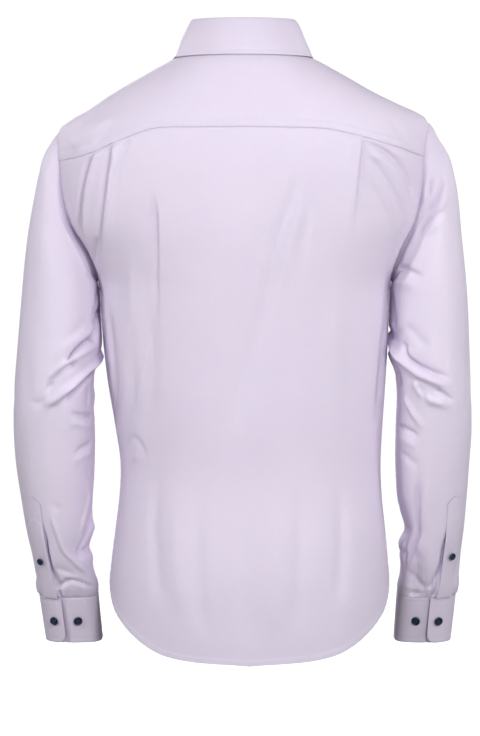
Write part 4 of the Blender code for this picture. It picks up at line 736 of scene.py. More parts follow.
# ------------------------------------------------------------------ finding places on a form
class Chart:
    """A form sampled finely, searched by what the camera sees or by its own coordinates."""

    def __init__(self, points, normals, own):
        self.p, self.n = points.reshape(-1, 3), normals.reshape(-1, 3)
        self.own = own.reshape(-1, 2)
        self.view = project(self.p)
        self.faces = ((CAMERA_AT - self.p) * self.n).sum(-1) > 0.15

    def find(self, path, by_view):
        keys, places, normals = ((self.view[self.faces], self.p[self.faces], self.n[self.faces]) if by_view
                                 else (self.own, self.p, self.n))
        i = [int(((keys - q) ** 2).sum(-1).argmin()) for q in path]
        return places[i], normals[i]


def soften(line):
    for _ in range(2):
        line = np.concatenate([line[:1], (line[:-2] + 2 * line[1:-1] + line[2:]) / 4, line[-1:]])
    return line


def creases(table, chart, by_view, shift=(0.0, 0.0), scale=(1.0, 1.0), depth=1.0):
    """Lines in space for a table of creases."""
    made = []
    for row in table:
        f = dict(zip(CREASE_COLUMNS, row))
        f["height"] *= depth
        corners = np.array(f["line"], float) * np.array([1.0, 1.0] if by_view else scale) + np.array(shift)
        run = lengths(corners)
        path = spline_at(np.linspace(0, run[-1], 36), run, corners)
        place, normal = chart.find(path, by_view)
        made.append((soften(place), unit(soften(normal)), f))
    return made


def relief(points, made):
    """Height of all creases at points near their lines, in metres."""
    flat = points.reshape(-1, 3)
    total = np.zeros(len(flat))
    for line, normal, f in made:
        reach = 0.0032 * max(f["right"], f["left"]) + 0.004
        near = np.nonzero(((flat > line.min(0) - reach) & (flat < line.max(0) + reach)).all(-1))[0]
        if not len(near):
            continue
        p = flat[near]
        d2 = ((p[:, None] - line[None]) ** 2).sum(-1)
        i = d2.argmin(1)
        tangent = unit(np.gradient(line, axis=0))
        v = p - line[i]
        along = (v * tangent[i]).sum(-1)
        step = np.linalg.norm(line[-1] - line[0]) / (len(line) - 1) + 1e-9
        inside = (i > 0) & (i < len(line) - 1)
        off = np.where(inside[:, None], v - along[:, None] * tangent[i], v)
        d = np.linalg.norm(off, axis=-1)
        sign = (np.cross(tangent[i], normal[i]) * v).sum(-1)
        t = (i + np.clip(along / step, -0.5, 0.5)) / (len(line) - 1)
        fade = np.ones(len(t))
        if f["start"] > 0:
            fade *= ease(t / f["start"])
        if f["end"] > 0:
            fade *= ease((1 - t) / f["end"])
        width = np.where(sign > 0, f["right"], f["left"]) * 0.001
        total[near] += 0.001 * f["height"] * fade * np.exp(-(d / width) ** 2)
    return total.reshape(points.shape[:-1])


def ripple(points, seed, scale, stretch=3.0):
    """Smooth noise, longer down the cloth than across it."""
    flat = points.reshape(-1, 3) * np.array([scale, scale, scale / stretch]) + seed
    return np.array([noise.noise(Vector(q)) for q in flat]).reshape(points.shape[:-1])


def undulate(points, coarse=0.0009, fine=0.00022):
    return coarse * ripple(points, 3.7, 13.0) + fine * ripple(points, 11.3, 42.0, 2.0)


# ------------------------------------------------------------------ seams
def near_line(points, line):
    """Distance of points from a line, and how far along it the nearest place is."""
    line = line[np.concatenate([[True], np.linalg.norm(np.diff(line, axis=0), axis=1) > 1e-7])]
    run = lengths(line)
    line = np.stack([np.interp(np.arange(0, run[-1], 0.0012), run, line[:, k]) for k in range(3)], -1)
    flat = points.reshape(-1, 3)
    away, along = np.full(len(flat), 9.0), np.zeros(len(flat))
    for k in range(0, len(flat), 4000):
        p = flat[k:k + 4000]
        box = ((p > line.min(0) - 0.05) & (p < line.max(0) + 0.05)).all(-1)
        if not box.any():
            continue
        d2 = ((p[box, None] - line[None]) ** 2).sum(-1)
        i = d2.argmin(1)
        away[k:k + 4000][box] = np.sqrt(np.maximum(d2[np.arange(len(i)), i] - 0.0006**2 / 3, 0))
        along[k:k + 4000][box] = i * 0.0012
    return away.reshape(points.shape[:-1]), along.reshape(points.shape[:-1])


def over(points, line, width, grooves, pucker=0.00016):
    """Height beside the edge of the panel that lies on top: a raised allowance with stitched grooves."""
    away, along = near_line(points, line)
    rise = SEAMED * (1 - ease((away - width) / 0.0016))
    for g in grooves:
        rise = rise - 0.00022 * np.exp(-((away - g) / 0.0008) ** 2)
    wave = np.sin(along * (2 * math.pi / 0.0105) + 2.0 * np.sin(along * 31.0)) + 0.6 * np.sin(along * 391.0)
    return rise + pucker * wave * np.exp(-((away - width * 0.6) / 0.009) ** 2), away


def under(points, line):
    """Height beside the edge of the panel that passes below its neighbour."""
    away, _ = near_line(points, line)
    return -TUCK * (1 - ease(away / 0.0045)), away


def tab(grid, normals, side, sink=0.00015):
    """Runs a grid on past one of its edges, under the neighbouring panel."""
    g, n = {"t": (grid, normals), "b": (grid[::-1], normals[::-1]),
            "l": (grid.swapaxes(0, 1), normals.swapaxes(0, 1)),
            "r": (grid.swapaxes(0, 1)[::-1], normals.swapaxes(0, 1)[::-1])}[side]
    way = unit(g[0] - g[2])
    extra = np.stack([g[0] + way * TAB - n[0] * 2 * sink, g[0] + way * TAB * 0.4 - n[0] * sink])
    g, n = np.concatenate([extra, g]), np.concatenate([n[:1], n[:1], n])
    if side == "b":
        g, n = g[::-1], n[::-1]
    elif side == "l":
        g, n = g.swapaxes(0, 1), n.swapaxes(0, 1)
    elif side == "r":
        g, n = g[::-1].swapaxes(0, 1), n[::-1].swapaxes(0, 1)
    return g, n


def contour(field, value):
    """Lines, in (row, column) places, along which a gridded field has a value."""
    above = field > value
    links = {}

    def join(a, b):
        links.setdefault(a, []).append(b)
        links.setdefault(b, []).append(a)

    cells = above[:-1, :-1].astype(int) + above[1:, :-1] + above[:-1, 1:] + above[1:, 1:]
    for i, j in zip(*np.nonzero((cells > 0) & (cells < 4))):
        edges = [e for e, a, b in ((("h", i, j), above[i, j], above[i, j + 1]),
                                   (("v", i, j + 1), above[i, j + 1], above[i + 1, j + 1]),
                                   (("h", i + 1, j), above[i + 1, j], above[i + 1, j + 1]),
                                   (("v", i, j), above[i, j], above[i + 1, j])) if a != b]
        join(edges[0], edges[1])
        if len(edges) == 4:
            join(edges[2], edges[3])
    lines, left = [], dict(links)
    while left:
        start = next((e for e in left if len(links[e]) == 1), next(iter(left)))
        chain, here = [], start
        while here is not None:
            chain.append(here)
            left.pop(here, None)
            here = next((e for e in links[here] if e in left), None)
        line = []
        for kind, i, j in chain:
            a, b = field[i, j], field[i, j + 1] if kind == "h" else field[i + 1, j]
            t = (value - a) / (b - a) if b != a else 0.5
            line.append((i, j + t) if kind == "h" else (i + t, j))
        if len(line) > 3:
            lines.append(np.array(line))
    return lines


def sample(grid, at):
    i = np.clip(at[:, 0].astype(int), 0, grid.shape[0] - 2)
    j = np.clip(at[:, 1].astype(int), 0, grid.shape[1] - 2)
    f, g = (at[:, 0] - i)[:, None], (at[:, 1] - j)[:, None]
    return ((1 - f) * (1 - g) * grid[i, j] + (1 - f) * g * grid[i, j + 1]
            + f * (1 - g) * grid[i + 1, j] + f * g * grid[i + 1, j + 1])


SEWN = []              # (points, normals) of every stitched line
BOLD = []              # the same, sewn with thicker thread


def sew(grid, normals, away, value, keep=None, into=SEWN):
    """Notes a line of stitches where away has a value."""
    for line in contour(away, value):
        p, n = sample(grid, line), unit(sample(normals, line))
        if keep is not None:
            ok = keep(p)
            if not ok.any():
                continue
            cut = np.nonzero(ok)[0]
            for part in np.split(cut, np.nonzero(np.diff(cut) > 1)[0] + 1):
                if len(part) > 3:
                    into.append((p[part], n[part]))
        else:
            into.append((p, n))


# ------------------------------------------------------------------ meshes
def settle(points):
    p = np.array(points, float)
    moved = p.copy()
    for x, z, wide, high, dx, dz in SETTLE:
        w = np.exp(-((p[..., 0] - x) / wide) ** 2 - ((p[..., 2] - z) / high) ** 2 - (p[..., 1] / 0.065) ** 2)
        moved[..., 0] += dx * w
        moved[..., 2] += dz * w
    return moved


def add_mesh(name, verts, faces, mat, uv=None, sharp=50):
    mesh = bpy.data.meshes.new(name)
    mesh.from_pydata(settle(verts).tolist(), [], np.asarray(faces).tolist())
    mesh.update()
    if uv is not None:
        layer = mesh.uv_layers.new(name="Cut")
        index = np.zeros(len(mesh.loops), np.int32)
        mesh.loops.foreach_get("vertex_index", index)
        layer.data.foreach_set("uv", np.asarray(uv, np.float32)[index].ravel())
    mesh.shade_smooth()
    mesh.set_sharp_from_angle(angle=math.radians(sharp))
    mesh.materials.append(mat)
    made = bpy.data.objects.new(name, mesh)
    bpy.context.scene.collection.objects.link(made)
    return made


def own_uv(grid, loop=False):
    """Distances across and down a grid, in metres: the cut of the cloth, near enough."""
    step = np.linalg.norm(np.diff(grid, axis=1), axis=-1)
    across = np.concatenate([np.zeros((len(grid), 1)), np.cumsum(step, axis=1)], 1)
    across -= across[:, across.shape[1] // 2][:, None]
    step = np.linalg.norm(np.diff(grid, axis=0), axis=-1).mean(1)
    down = np.concatenate([[0.0], np.cumsum(step)])
    return np.stack([across, np.broadcast_to(-down[:, None], across.shape)], -1)


def shell(name, outer, inner, mat, loop=False, sharp=50):
    """A closed thin shell between two grids of the same shape."""
    rows, cols = outer.shape[:2]
    n = rows * cols
    index = np.arange(n).reshape(rows, cols)
    right = np.roll(index, -1, axis=1) if loop else index[:, 1:]
    here = index if loop else index[:, :-1]
    top = np.stack([here[:-1], here[1:], right[1:], right[:-1]], -1).reshape(-1, 4)
    low = top[:, ::-1] + n
    first = np.stack([here[0], right[0], right[0] + n, here[0] + n], -1)
    last = np.stack([here[-1], here[-1] + n, right[-1] + n, right[-1]], -1)
    quads = [top, low, first, last]
    if not loop:
        quads.append(np.stack([index[:-1, 0], index[:-1, 0] + n, index[1:, 0] + n, index[1:, 0]], -1))
        quads.append(np.stack([index[:-1, -1], index[1:, -1], index[1:, -1] + n, index[:-1, -1] + n], -1))
    faces = np.concatenate(quads)
    verts = np.concatenate([outer.reshape(-1, 3), inner.reshape(-1, 3)])
    t = verts[faces] - verts.mean(0)
    volume = np.einsum("ij,ij->i", t[:, 0], np.cross(t[:, 1], t[:, 2])).sum()
    volume += np.einsum("ij,ij->i", t[:, 0], np.cross(t[:, 2], t[:, 3])).sum()
    if volume < 0:
        faces = faces[:, ::-1]
    uv = own_uv(outer).reshape(-1, 2)
    return add_mesh(name + "_cloth", verts, faces, mat, np.concatenate([uv, uv]), sharp)


def finish_piece(obj, node, bodies="root"):
    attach(obj, bodies)
    if node:
        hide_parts(*([node] if isinstance(node, str) else node))
    return obj


# ------------------------------------------------------------------ materials
def nodes_of(name):
    mat = bpy.data.materials.new(name)
    mat.use_nodes = True
    tree = mat.node_tree
    return mat, tree, tree.nodes["Principled BSDF"]


def node(tree, kind, **values):
    made = tree.nodes.new(kind)
    for key, value in values.items():
        if key.startswith("in_"):
            made.inputs[int(key[3:]) if key[3:].isdigit() else key[3:]].default_value = value
        else:
            setattr(made, key, value)
    return made


def cloth_material(name, light, dark, sheen, roughness, weave=0.10):
    """Fine poplin: weft ribs and warp threads in the cut's own metres, with a faint uneven dye and painted shade that
    darkens the bottom of folds and seams.
    """
    mat, tree, shader = nodes_of(name)
    link = tree.links.new
    uv = node(tree, "ShaderNodeUVMap", uv_map="Cut")
    split = node(tree, "ShaderNodeSeparateXYZ")
    link(uv.outputs["UV"], split.inputs[0])

    def threads(axis, period):
        turn = node(tree, "ShaderNodeMath", operation="MULTIPLY", in_1=2 * math.pi / period)
        link(split.outputs[axis], turn.inputs[0])
        wave = node(tree, "ShaderNodeMath", operation="SINE")
        link(turn.outputs[0], wave.inputs[0])
        return wave

    warp, weft = threads(0, 0.00042), threads(1, 0.00050)
    product = node(tree, "ShaderNodeMath", operation="MULTIPLY")
    link(warp.outputs[0], product.inputs[0])
    link(weft.outputs[0], product.inputs[1])
    rib = node(tree, "ShaderNodeMath", operation="MULTIPLY_ADD", in_1=0.6)
    link(weft.outputs[0], rib.inputs[0])
    link(product.outputs[0], rib.inputs[2])
    slub = node(tree, "ShaderNodeTexNoise", in_Scale=900.0, in_Detail=2.0)
    stretch = node(tree, "ShaderNodeMapping", in_Scale=(0.06, 1.0, 1.0))
    link(uv.outputs["UV"], stretch.inputs["Vector"])
    link(stretch.outputs[0], slub.inputs["Vector"])
    height = node(tree, "ShaderNodeMath", operation="MULTIPLY_ADD", in_1=0.9)
    link(slub.outputs["Fac"], height.inputs[0])
    link(rib.outputs[0], height.inputs[2])
    bump = node(tree, "ShaderNodeBump", in_Strength=weave, in_Distance=0.0002)
    link(height.outputs[0], bump.inputs["Height"])
    link(bump.outputs[0], shader.inputs["Normal"])

    place = node(tree, "ShaderNodeTexCoord")
    dye = node(tree, "ShaderNodeTexNoise", in_Scale=7.0, in_Detail=3.0, in_Roughness=0.55)
    link(place.outputs["Object"], dye.inputs["Vector"])
    fibre = node(tree, "ShaderNodeTexNoise", in_Scale=2600.0, in_Detail=1.0)
    link(stretch.outputs[0], fibre.inputs["Vector"])
    both = node(tree, "ShaderNodeMix", data_type="FLOAT")
    both.inputs[0].default_value = 0.35
    link(dye.outputs["Fac"], both.inputs[2])
    link(fibre.outputs["Fac"], both.inputs[3])
    ramp = node(tree, "ShaderNodeValToRGB")
    ramp.color_ramp.elements[0].position = 0.36
    ramp.color_ramp.elements[0].color = (*dark, 1.0)
    ramp.color_ramp.elements[1].position = 0.64
    ramp.color_ramp.elements[1].color = (*light, 1.0)
    link(both.outputs[0], ramp.inputs[0])
    # painted shade: ambient occlusion darkens the colour to a deeper lilac in the bottom of folds and seams
    painted_crease_shade = node(tree, "ShaderNodeAmbientOcclusion", samples=6, in_Distance=0.012)
    deep = node(tree, "ShaderNodeValToRGB")
    deep.color_ramp.elements[0].position = 0.18
    deep.color_ramp.elements[0].color = (0.54, 0.47, 0.63, 1.0)
    deep.color_ramp.elements[1].position = 0.88
    deep.color_ramp.elements[1].color = (1.0, 1.0, 1.0, 1.0)
    link(painted_crease_shade.outputs["AO"], deep.inputs[0])
    # the dye's colour multiplied by the painted shade
    dye_and_painted_shade = node(tree, "ShaderNodeMix", data_type="RGBA", blend_type="MULTIPLY")
    dye_and_painted_shade.inputs[0].default_value = 1.0
    link(ramp.outputs[0], dye_and_painted_shade.inputs[6])
    link(deep.outputs[0], dye_and_painted_shade.inputs[7])
    link(dye_and_painted_shade.outputs[2], shader.inputs["Base Color"])
    rough = node(tree, "ShaderNodeMapRange", in_3=roughness - 0.05, in_4=roughness + 0.05)
    link(slub.outputs["Fac"], rough.inputs[0])
    link(rough.outputs[0], shader.inputs["Roughness"])
    shader.inputs["Specular IOR Level"].default_value = 0.35
    shader.inputs["Sheen Weight"].default_value = sheen
    shader.inputs["Sheen Roughness"].default_value = 0.42
    shader.inputs["Sheen Tint"].default_value = (0.93, 0.88, 1.0, 1.0)
    return mat


def button_material(name):
    """Dark navy resin, marbled a little, polished with a clear coat."""
    mat, tree, shader = nodes_of(name)
    link = tree.links.new
    place = node(tree, "ShaderNodeTexCoord")
    marble = node(tree, "ShaderNodeTexNoise", in_Scale=260.0, in_Detail=4.0, in_Distortion=1.6)
    link(place.outputs["Object"], marble.inputs["Vector"])
    ramp = node(tree, "ShaderNodeValToRGB")
    ramp.color_ramp.elements[0].position = 0.35
    ramp.color_ramp.elements[0].color = (0.004, 0.012, 0.036, 1.0)
    ramp.color_ramp.elements[1].position = 0.75
    ramp.color_ramp.elements[1].color = (0.018, 0.046, 0.104, 1.0)
    link(marble.outputs["Fac"], ramp.inputs[0])
    link(ramp.outputs[0], shader.inputs["Base Color"])
    scuff = node(tree, "ShaderNodeTexNoise", in_Scale=1400.0, in_Detail=3.0)
    link(place.outputs["Object"], scuff.inputs["Vector"])
    rough = node(tree, "ShaderNodeMapRange", in_3=0.20, in_4=0.34)
    link(scuff.outputs["Fac"], rough.inputs[0])
    link(rough.outputs[0], shader.inputs["Roughness"])
    bump = node(tree, "ShaderNodeBump", in_Strength=0.05, in_Distance=0.0001)
    link(scuff.outputs["Fac"], bump.inputs["Height"])
    link(bump.outputs[0], shader.inputs["Normal"])
    shader.inputs["Specular IOR Level"].default_value = 0.32
    shader.inputs["Coat Weight"].default_value = 0.25
    shader.inputs["Coat Roughness"].default_value = 0.10
    return mat


def thread_material(name, light, dark):
    """Twisted sewing thread."""
    mat, tree, shader = nodes_of(name)
    link = tree.links.new
    place = node(tree, "ShaderNodeTexCoord")
    twist = node(tree, "ShaderNodeTexNoise", in_Scale=3200.0, in_Detail=1.0)
    link(place.outputs["Object"], twist.inputs["Vector"])
    ramp = node(tree, "ShaderNodeValToRGB")
    ramp.color_ramp.elements[0].position = 0.3
    ramp.color_ramp.elements[0].color = (*dark, 1.0)
    ramp.color_ramp.elements[1].position = 0.7
    ramp.color_ramp.elements[1].color = (*light, 1.0)
    link(twist.outputs["Fac"], ramp.inputs[0])
    link(ramp.outputs[0], shader.inputs["Base Color"])
    bump = node(tree, "ShaderNodeBump", in_Strength=0.3, in_Distance=0.0001)
    link(twist.outputs["Fac"], bump.inputs["Height"])
    link(bump.outputs[0], shader.inputs["Normal"])
    shader.inputs["Roughness"].default_value = 0.5
    shader.inputs["Sheen Weight"].default_value = 0.2
    return mat


LIGHT = (0.800, 0.724, 0.868)
DARK = (0.768, 0.692, 0.842)
cloth = cloth_material("cloth", LIGHT, DARK, 0.12, 0.60)
crisp = cloth_material("pressed_cloth", LIGHT, DARK, 0.10, 0.55, 0.08)
navy = button_material("button")
lilac_thread = thread_material("lilac_thread", (0.90, 0.85, 0.96), (0.78, 0.72, 0.88))
navy_thread = thread_material("navy_thread", (0.05, 0.07, 0.13), (0.02, 0.03, 0.07))

# ------------------------------------------------------------------ charts and creases
level_grid, angle_grid = np.meshgrid(np.arange(0, LAST, 0.05), np.radians(np.arange(-96, 96.1, 0.5)), indexing="ij")
back_points = body(angle_grid, level_grid)
back_chart = Chart(back_points, body_normal(angle_grid, level_grid), back_points[..., [0, 2]])
angle_grid = angle_grid + math.pi
front_points = body(angle_grid, level_grid)
front_chart = Chart(front_points, body_normal(angle_grid, level_grid), front_points[..., [0, 2]])

BACK_MADE = (creases(BACK_CREASES, back_chart, True, depth=1.6)
             + creases(TAIL_CREASES, back_chart, False, depth=1.5))
YOKE_MADE = creases(YOKE_CREASES, back_chart, True, depth=1.4)
FRONT_MADE = creases(FRONT_CREASES, front_chart, False, depth=1.7)
SLEEVE_MADE, GUTTER_MADE, SLEEVE_CHART = {}, {}, {}
for which in ("left", "right"):
    rings = np.arange(0, 15.001, 0.05)
    theta = np.radians(np.arange(-180, 180, 1.25))
    points = sleeve(which, theta, rings)
    normals = grid_normals(points, points.mean(1, keepdims=True), True)
    own = np.stack([np.broadcast_to(np.degrees(theta) * 0.001, points.shape[:2]), points[..., 2]], -1)
    chart = SLEEVE_CHART[which] = Chart(points, normals, own)
    seen = LEFT_SLEEVE_CREASES if which == "left" else RIGHT_SLEEVE_CREASES
    shift = 0.0 if which == "left" else 0.006
    SLEEVE_MADE[which] = (creases(seen, chart, True, depth=1.3)
                          + creases(FRONT_SLEEVE_CREASES, chart, False, (0.0, shift), (0.001, 1.0), 1.3))
    beside = PLACKET_GUTTERS[:2] if which == "left" else PLACKET_GUTTERS[2:]
    GUTTER_MADE[which] = creases(beside, chart, True)


# ------------------------------------------------------------------ torso panels
def low_armhole(z):
    """Grows down the lower half of an armhole, where the sleeve folds over the body."""
    return ease((-0.186 - z) / 0.080)


def body_panel(name, patch, made, overs, unders, tabs, thick=CLOTH, lift=0.0, stitch=True, calm=1.0, crevices=()):
    """A shell on the torso form. overs: (line, width, grooves); unders: lines; tabs: sides."""
    base = body(patch[..., 0], patch[..., 1])
    n = body_normal(patch[..., 0], patch[..., 1])
    blouse = 0.0065 * np.exp(-((base[..., 2] + 0.485) / 0.095) ** 2) * np.clip(np.cos(patch[..., 0]), 0, 1) ** 1.5
    rise = relief(base, made) + undulate(base) * calm + blouse
    quiet = np.ones(rise.shape)
    extra = np.zeros(rise.shape) + lift
    distances = []
    for line, width, grooves in overs:
        up, away = over(base, line, width, grooves)
        extra += up
        quiet *= 0.30 + 0.70 * ease(away / 0.020)
        distances.append((away, grooves))
    for line in unders:
        down, away = under(base, line)
        extra += down
        quiet *= 0.12 + 0.88 * ease((away - 0.001) / 0.009)
    for line in crevices:
        away, _ = near_line(base, line)
        extra -= 0.0025 * low_armhole(base[..., 2]) * np.exp(-(away / 0.0036) ** 2)
    outer = base + n * (rise * quiet + extra)[..., None]
    normal = grid_normals(outer, np.array([0.0, 0.0, -0.30]))
    if stitch:
        for away, grooves in distances:
            for g in grooves:
                sew(outer, normal, away, g)
    for side in tabs:
        outer, normal = tab(outer, normal, side)
    made_obj = shell(name, outer, outer - normal * thick, cloth)
    return made_obj, outer, normal


def space(line):
    """A line of (angle, level) in space."""
    return body(line[:, 0], line[:, 1])


def make_back():
    arm, side = 0.166, 0.392
    rows_arm = spaced(arm, lambda x: 0.0010 + 0.0016 * ease((x - 0.008) / 0.01))
    rows_side = spaced(side, lambda x: 0.0026 + 0.0016 * ease((x - 0.03) / 0.05)
                       - 0.0030 * ease((x - side + 0.024) / 0.012))
    borders = []
    for s in (-1, 1):
        borders.append(np.concatenate([resample(armhole_line(s, "back"), rows_arm),
                                       resample(side_line(s), rows_side)[1:]]))
    total = 0.46

    def step(x):
        edge = np.minimum(x, total - x)
        fine = 0.0010 + 0.0007 * ease((edge - 0.011) / 0.008)
        return fine + 0.0022 * ease((edge - 0.125) / 0.04)

    u = spaced(total, step) * 2 - 1
    ends = [space(armhole_line(s, "back"))[0, 0] for s in (-1, 1)]
    x = ends[0] + (u + 1) / 2 * (ends[1] - ends[0])
    top = yoke_seam(x)
    top[0], top[-1] = borders[0][0], borders[1][0]
    angle = u * math.pi / 2
    bottom = np.stack([angle, hem_level(angle)], -1)
    share = (u + 1) / 2
    patch = coons(borders[0], borders[1], top, bottom, share)
    run = lengths(space(borders[0]))
    middle = len(u) // 2
    spine = np.stack([np.full(300, angle[middle]), np.linspace(top[middle, 1], bottom[middle, 1], 300)], -1)
    patch[..., 1] += (resample(spine, run / run[-1])[:, 1] - patch[:, middle, 1])[:, None] * (4 * share * (1 - share))
    overs = [(space(armhole_line(s, "back")), 0.0098, (0.0092,)) for s in (1, -1)]
    overs.append((space(bottom), 0.0060, (0.0050,)))
    unders = [space(top)] + [space(side_line(s)) for s in (1, -1)]
    obj, outer, normal = body_panel("back", patch, BACK_MADE, overs, unders, "t",
                                    crevices=[line for line, _, _ in overs[:2]])
    return finish_piece(obj, "back")


def make_yoke():
    left, right = armhole_line(1, "yoke"), armhole_line(-1, "yoke")
    arm_cut = spaced(length_of(left), lambda x: 0.0032 + 0 * x)
    ends = [space(armhole_line(s, "back"))[0, 0] for s in (-1, 1)]
    mid_cut = spaced(0.49, lambda x: 0.0032 + 0 * x)
    x = ends[1] + mid_cut * (ends[0] - ends[1])
    seam = yoke_seam(x)
    first = resample(left, arm_cut)
    last = resample(right, arm_cut)[::-1]
    seam[0], seam[-1] = first[-1], last[0]
    outer = np.concatenate([first, seam[1:-1], last])
    # the front yoke seams close this patch at its first and last columns
    w = near_ends(0.13, 0.0010, 0.0034)[:, None]
    patch = np.stack([np.broadcast_to(outer[None, :, 0], (len(w), len(outer))), w * outer[None, :, 1]], -1)
    front = [np.stack([np.full(80, s * math.radians(YOKE_FRONT)),
                       np.linspace(0, outer[0 if s > 0 else -1, 1], 80)], -1) for s in (1, -1)]
    overs = [(space(seam), 0.0085, (0.0018,)), (space(left), 0.0098, (0.0092,)), (space(right), 0.0098, (0.0092,)),
             (space(front[0]), 0.0085, (0.0018,)), (space(front[1]), 0.0085, (0.0018,))]
    made = YOKE_MADE
    calm = 0.8 * ease((patch[..., 1] - 0.9) / 1.2)          # flat where the collar lies on it
    obj, _, _ = body_panel("yoke", patch, made, overs, [], "", calm=calm)
    return finish_piece(obj, "yoke"), seam


def make_front(side):
    x_edge = BAND_W / 2 * side
    own = float(front_angle(side, 0.0, BAND_W / 2))
    neck = np.linspace(own, side * math.radians(YOKE_FRONT), 60)
    if x_edge < 0:
        neck = np.concatenate([np.linspace(float(front_angle(side, 0.0, x_edge)), own, 30)[:-1], neck])
    u = near_ends(0.20, 0.0010, 0.0034)
    neck = np.interp(u, np.linspace(0, 1, len(neck)), neck)
    top = np.stack([neck, np.zeros(len(neck))], -1)
    corner = armhole_line(side, "front")[0]
    seam = np.stack([np.full(200, corner[0]), np.linspace(0, corner[1], 200)], -1)
    arm, flank = armhole_line(side, "front"), side_line(side)
    rows = [near_ends(length_of(seam), 0.0012, 0.0034, end=False),
            spaced(length_of(arm), lambda x: 0.0030 + 0 * x),
            near_ends(length_of(flank), 0.0010, 0.0040, start=False)]
    right = np.concatenate([resample(seam, rows[0]), resample(arm, rows[1])[1:], resample(flank, rows[2])[1:]])
    low = float(hem_level(math.pi))
    fine = np.linspace(0, low, 400)
    edge = np.stack([front_angle(side, fine, x_edge), fine], -1)
    run = lengths(space(right))
    left = resample(edge, run / run[-1])
    left = np.stack([front_angle(side, left[:, 1], x_edge), left[:, 1]], -1)
    u_top = (neck - neck[0]) / (neck[-1] - neck[0])
    angle = left[-1, 0] + u_top * (side * math.pi / 2 - left[-1, 0])
    bottom = np.stack([angle, hem_level(angle)], -1)
    patch = coons(left, right, top, bottom, u_top)
    lift = 0.0
    if side < 0:
        x = body(patch[..., 0], patch[..., 1])[..., 0] - spline(patch[..., 1], BODY_FIELD["x_mid"])
        lift = -UNDER * ease((x + BAND_W / 2 + 0.030) / 0.028)
    overs = [(space(arm), 0.0098, (0.0092,)), (space(flank), 0.0080, (0.0016, 0.0072)),
             (space(bottom), 0.0060, (0.0050,))]
    unders = [space(seam)] + ([space(left)] if side > 0 else [])
    name = "front_left" if side > 0 else "front_right"
    tabs = "tl" if side > 0 else "t"
    obj, _, _ = body_panel(name, patch, FRONT_MADE, overs, unders, "l" if side > 0 else "", lift=lift)
    return finish_piece(obj, name)


def make_band():
    low = float(hem_level(math.pi))
    fine = np.linspace(0, low, 400)
    edge = np.stack([front_angle(1, fine, BAND_W / 2), fine], -1)
    level = resample(edge, near_ends(0.70, 0.0012, 0.0034))[:, 1]
    x = np.linspace(-BAND_W / 2, BAND_W / 2, 36)
    angle = np.stack([front_angle(1, level, k) for k in x], 1)
    level = np.repeat(level[:, None], len(x), 1)
    base, n = body(angle, level), body_normal(angle, level)
    away = np.minimum(x + BAND_W / 2, BAND_W / 2 - x)[None, :] + 0 * level
    rise = relief(base, FRONT_MADE) * 0.25 + undulate(base) * 0.35 + 0.0009
    rise = rise - 0.00025 * np.exp(-((away - 0.0062) / 0.0009) ** 2) - 0.00045 * (1 - ease(away / 0.0012))
    down, bottom_away = over(base, base[-1], 0.0060, (0.0050,))
    outer = base + n * (rise + down * 0.6)[..., None]
    normal = grid_normals(outer, np.array([0.0, 0.0, -0.30]))
    for col in (0.0062, BAND_W - 0.0062):
        j = col / BAND_W * (len(x) - 1)
        line = np.stack([np.arange(2, len(level) - 1), np.full(len(level) - 3, j)], -1).astype(float)
        SEWN.append((sample(outer, line), unit(sample(normal, line))))
    obj = shell("front_band", outer, outer - normal * 0.0011, crisp)
    return finish_piece(obj, "front_band")


# ------------------------------------------------------------------ collar
def rounded_limit(run, total, height, radius):
    """Share of the height that is left beside ends rounded off with a radius."""
    r = np.minimum(run, total - run)
    r = np.clip(r, 0, radius)
    return 1 - (radius - np.sqrt(np.maximum(radius**2 - (radius - r) ** 2, 0))) / height


def make_stand():
    end = math.radians(STAND_ENDS)
    fine = np.linspace(-end, end, 1200)
    run = lengths(stand_ring(fine, 1.0))
    cut = near_ends(run[-1], 0.0010, 0.0030)
    angle = np.interp(cut * run[-1], run, fine)
    reach = lengths(stand_ring(angle, 0.9))
    limit = rounded_limit(reach, reach[-1], 0.036, 0.013)
    rows = near_ends(0.040, 0.0009, 0.0022, reach=0.004)
    outer = np.stack([stand_ring(angle, t * limit) for t in rows])
    out = np.broadcast_to(round_out(angle)[None], outer.shape)
    border = np.concatenate([outer[::-1, 0], outer[0], outer[:, -1]])
    away, _ = near_line(outer, border)
    top_away, _ = near_line(outer, outer[-1])
    front = np.abs(np.degrees(angle))[None, :] > 140
    rise = -0.00020 * np.exp(-((away - 0.0030) / 0.0008) ** 2)
    outer = outer + out * rise[..., None]
    normal = grid_normals(outer, np.array([0.0, -0.004, -0.05]))
    sew(outer, normal, away, 0.0030)
    sew(outer, normal, top_away, 0.0030, lambda p: p[:, 1] < -0.035)
    inner = outer - out * STIFF
    # its foot laps onto the neckline of the yoke and the fronts
    level = np.full(angle.shape, 0.16)
    below = ease((-np.degrees(angle) - 115.0) / 25.0)       # the right front runs under the band
    foot = body(angle, level) + body_normal(angle, level) * (0.0002 - 0.0026 * below)[:, None]
    outer = np.concatenate([foot[None], outer])
    inner = np.concatenate([(inner[0] - np.array([0.0, 0.0, 0.0008]))[None], inner])
    obj = shell("collar_stand", outer, inner, crisp)
    return finish_piece(obj, "collar_stand")


